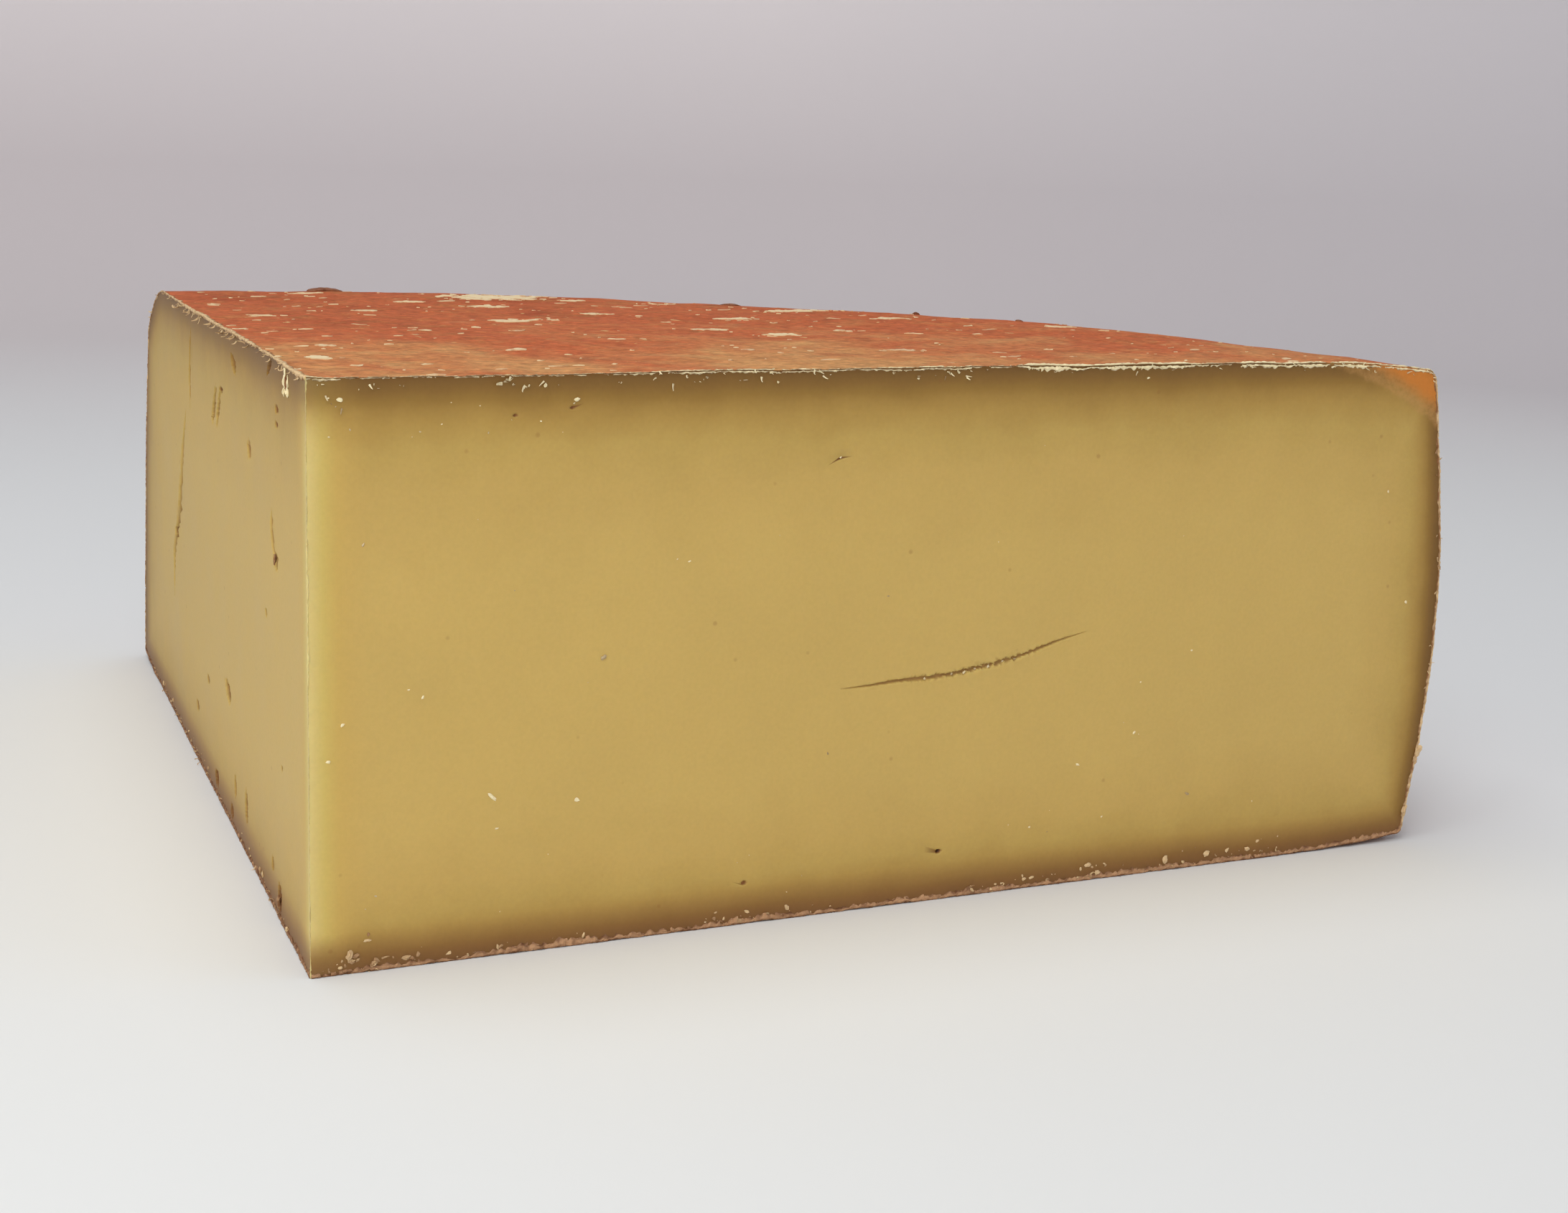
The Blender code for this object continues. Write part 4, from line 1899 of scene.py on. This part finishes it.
@dataclass
class Studio:
    """A round bowl of pale paper, soft lights and the camera."""

    form: Quarter
    paper: PaperFinish
    floor_radius: float = 1.3
    curve_radius: float = 0.6
    wall_height: float = 0.6
    around_steps: int = 96
    curve_steps: int = 16
    camera_from_tip: Vector = field(default_factory=lambda: Vector((-0.1133, -0.4383, 0.1662)))
    camera_yaw: float = math.radians(26.21)
    camera_pitch: float = math.radians(11.17)
    camera_roll: float = math.radians(1.82)
    lens_mm: float = 53.8
    world_colour: str = "#D4D7DB"
    world_strength: float = 0.385

    def build(self) -> None:
        """Make the sweep, the lights, the world and the camera."""
        self.lay_sweep()
        self.hang_lights()
        self.fill_world()
        self.set_camera()

    def lay_sweep(self) -> bpy.types.Object:
        """Spin the floor, its curve and the wall as one round bowl.

        Returns:
            The sweep.
        """
        mesh = bmesh.new()
        outline = [mesh.verts.new((0.0, 0.0, 0.0)), mesh.verts.new((self.floor_radius, 0.0, 0.0))]
        for step in range(1, self.curve_steps + 1):
            angle = step / self.curve_steps * math.pi / 2
            out = self.floor_radius + self.curve_radius * math.sin(angle)
            outline.append(mesh.verts.new((out, 0.0, self.curve_radius * (1 - math.cos(angle)))))
        outline.append(mesh.verts.new((outline[-1].co.x, 0.0, self.curve_radius + self.wall_height)))
        for low, high in zip(outline, outline[1:]):
            mesh.edges.new((low, high))
        bmesh.ops.spin(
            mesh,
            geom=[*mesh.verts, *mesh.edges],
            cent=(0, 0, 0),
            axis=(0, 0, 1),
            angle=2 * math.pi,
            steps=self.around_steps,
            use_merge=True,
        )
        bmesh.ops.remove_doubles(mesh, verts=mesh.verts, dist=0.01 * MM)
        bmesh.ops.recalc_face_normals(mesh, faces=mesh.faces)
        if next(iter(mesh.faces)).normal.z < 0:
            bmesh.ops.reverse_faces(mesh, faces=mesh.faces)
        for face in mesh.faces:
            face.smooth = True
        data = bpy.data.meshes.new("paper_sweep")
        mesh.to_mesh(data)
        mesh.free()
        data.materials.append(self.paper.material())
        sweep = bpy.data.objects.new("paper_sweep", data)
        bpy.context.scene.collection.objects.link(sweep)
        return sweep

    def hang_lights(self) -> None:
        """Hang the broad soft lights, each turned to the middle of the quarter."""
        for name, place, size, watts, colour in (
            ("overhead_softbox", (-0.3, 0.0, 1.7), 1.3, 10.2, "#FDFFFF"),
            ("front_left_softbox", (-0.7, -1.25, 1.25), 1.0, 10.2, "#FDFFFD"),
            ("left_fill", (-0.65, -0.42, 0.35), 0.3, 0.8, "#FFFFF0"),
            ("right_fill", (1.3, -0.9, 1.2), 1.2, 1.5, "#F4F6FF"),
        ):
            light = bpy.data.lights.new(name, "AREA")
            light.shape = "DISK"
            light.size = size
            light.energy = watts
            light.color = linear(colour)[:3]
            lamp = bpy.data.objects.new(name, light)
            lamp.location = place
            aim = Vector((0.0, 0.0, self.form.height / 2)) - lamp.location
            lamp.rotation_euler = aim.to_track_quat("-Z", "Y").to_euler()
            bpy.context.scene.collection.objects.link(lamp)

    def fill_world(self) -> None:
        """Fill the room with even pale light."""
        world = bpy.data.worlds.new("pale_room")
        bpy.context.scene.world = world
        world.use_nodes = True
        sky = world.node_tree.nodes["Background"]
        sky.inputs["Color"].default_value = linear(self.world_colour)
        sky.inputs["Strength"].default_value = self.world_strength

    def set_camera(self) -> None:
        """Stand the camera before the tip and slightly above it."""
        lens = bpy.data.cameras.new("camera")
        lens.lens = self.lens_mm
        lens.sensor_width = 36.0
        lens.clip_start = 0.01
        camera = bpy.data.objects.new("camera", lens)
        yaw = Matrix.Rotation(-self.camera_yaw, 3, "Z")
        pitch = Matrix.Rotation(math.pi / 2 - self.camera_pitch, 3, "X")
        roll = Matrix.Rotation(self.camera_roll, 3, "Z")
        camera.rotation_euler = (yaw @ pitch @ roll).to_euler()
        camera.location = self.form.tip + self.camera_from_tip
        bpy.context.scene.collection.objects.link(camera)
        bpy.context.scene.camera = camera
        bpy.context.scene.view_settings.view_transform = "Standard"


# ---------------------------------------------------------------------------------------------
# Building
# ---------------------------------------------------------------------------------------------


def main() -> None:
    """Build the cheese and its studio, piece by piece."""
    logging.basicConfig(level=logging.INFO, format="%(message)s")
    low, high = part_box(NODE)
    form = Quarter(tip=Vector((low[0], low[1], 0.0)), height=high[2])
    paste = PasteFinish().material()
    rind = RindFinish().material()
    flaws = (FRONT_CRACK, LEFT_CRACK, LEFT_HAIRLINE, BOOT_HOLE, *EYES)
    CheeseBody(form, flaws, SMEAR).build(paste, rind)
    cream = TornFinish("dried_cream_crust", pale="#F2E2B6", dark="#76502A").material()
    tan = TornFinish("torn_tan_crust", pale="#DDBE90", dark="#84562F").material()
    pink = TornFinish("torn_pink_crust", pale="#B98E68", dark="#6A4223").material()
    moist = TornFinish("torn_moist_paste", pale="#E4D08E", dark="#C2A25C", glow=0.3).material()
    smear = TornFinish("dried_smear", pale="#ECD3A6", dark="#C0825A").material()
    knotted = TornFinish("knotted_crust", pale="#B06C44", dark="#6C4028").material()
    for lip, finish in (
        (TOP_FRONT_LIP, cream),
        (TOP_LEFT_LIP, tan),
        (FOOT_FRONT_LIP, pink),
        (FOOT_LEFT_LIP, pink),
        (HEEL_FRONT_LIP, tan),
        (HEEL_LEFT_LIP, tan),
        (TIP_LIP, moist),
    ):
        lip.build(form, finish)
    Shreds("paste_shreds", FRONT_TUFTS).build(form, cream)
    Shreds("crust_shreds", CRUST_TUFTS, seed=12).build(form, tan)
    RindFlakes("dried_smear_flakes", PATCHES, small_count=250).build(form, smear)
    RindFlakes("crust_lumps", CRUST_LUMPS).build(form, knotted)
    Crumbs("paste_crumbs", PASTE_CRUMBS, PASTE_SCATTER).build(form, cream)
    Crumbs("crust_crumbs", CRUST_CRUMBS, CRUST_SCATTER, seed=37).build(form, tan)
    Studio(form, PaperFinish()).build()


if __name__ == "__main__":
    main()
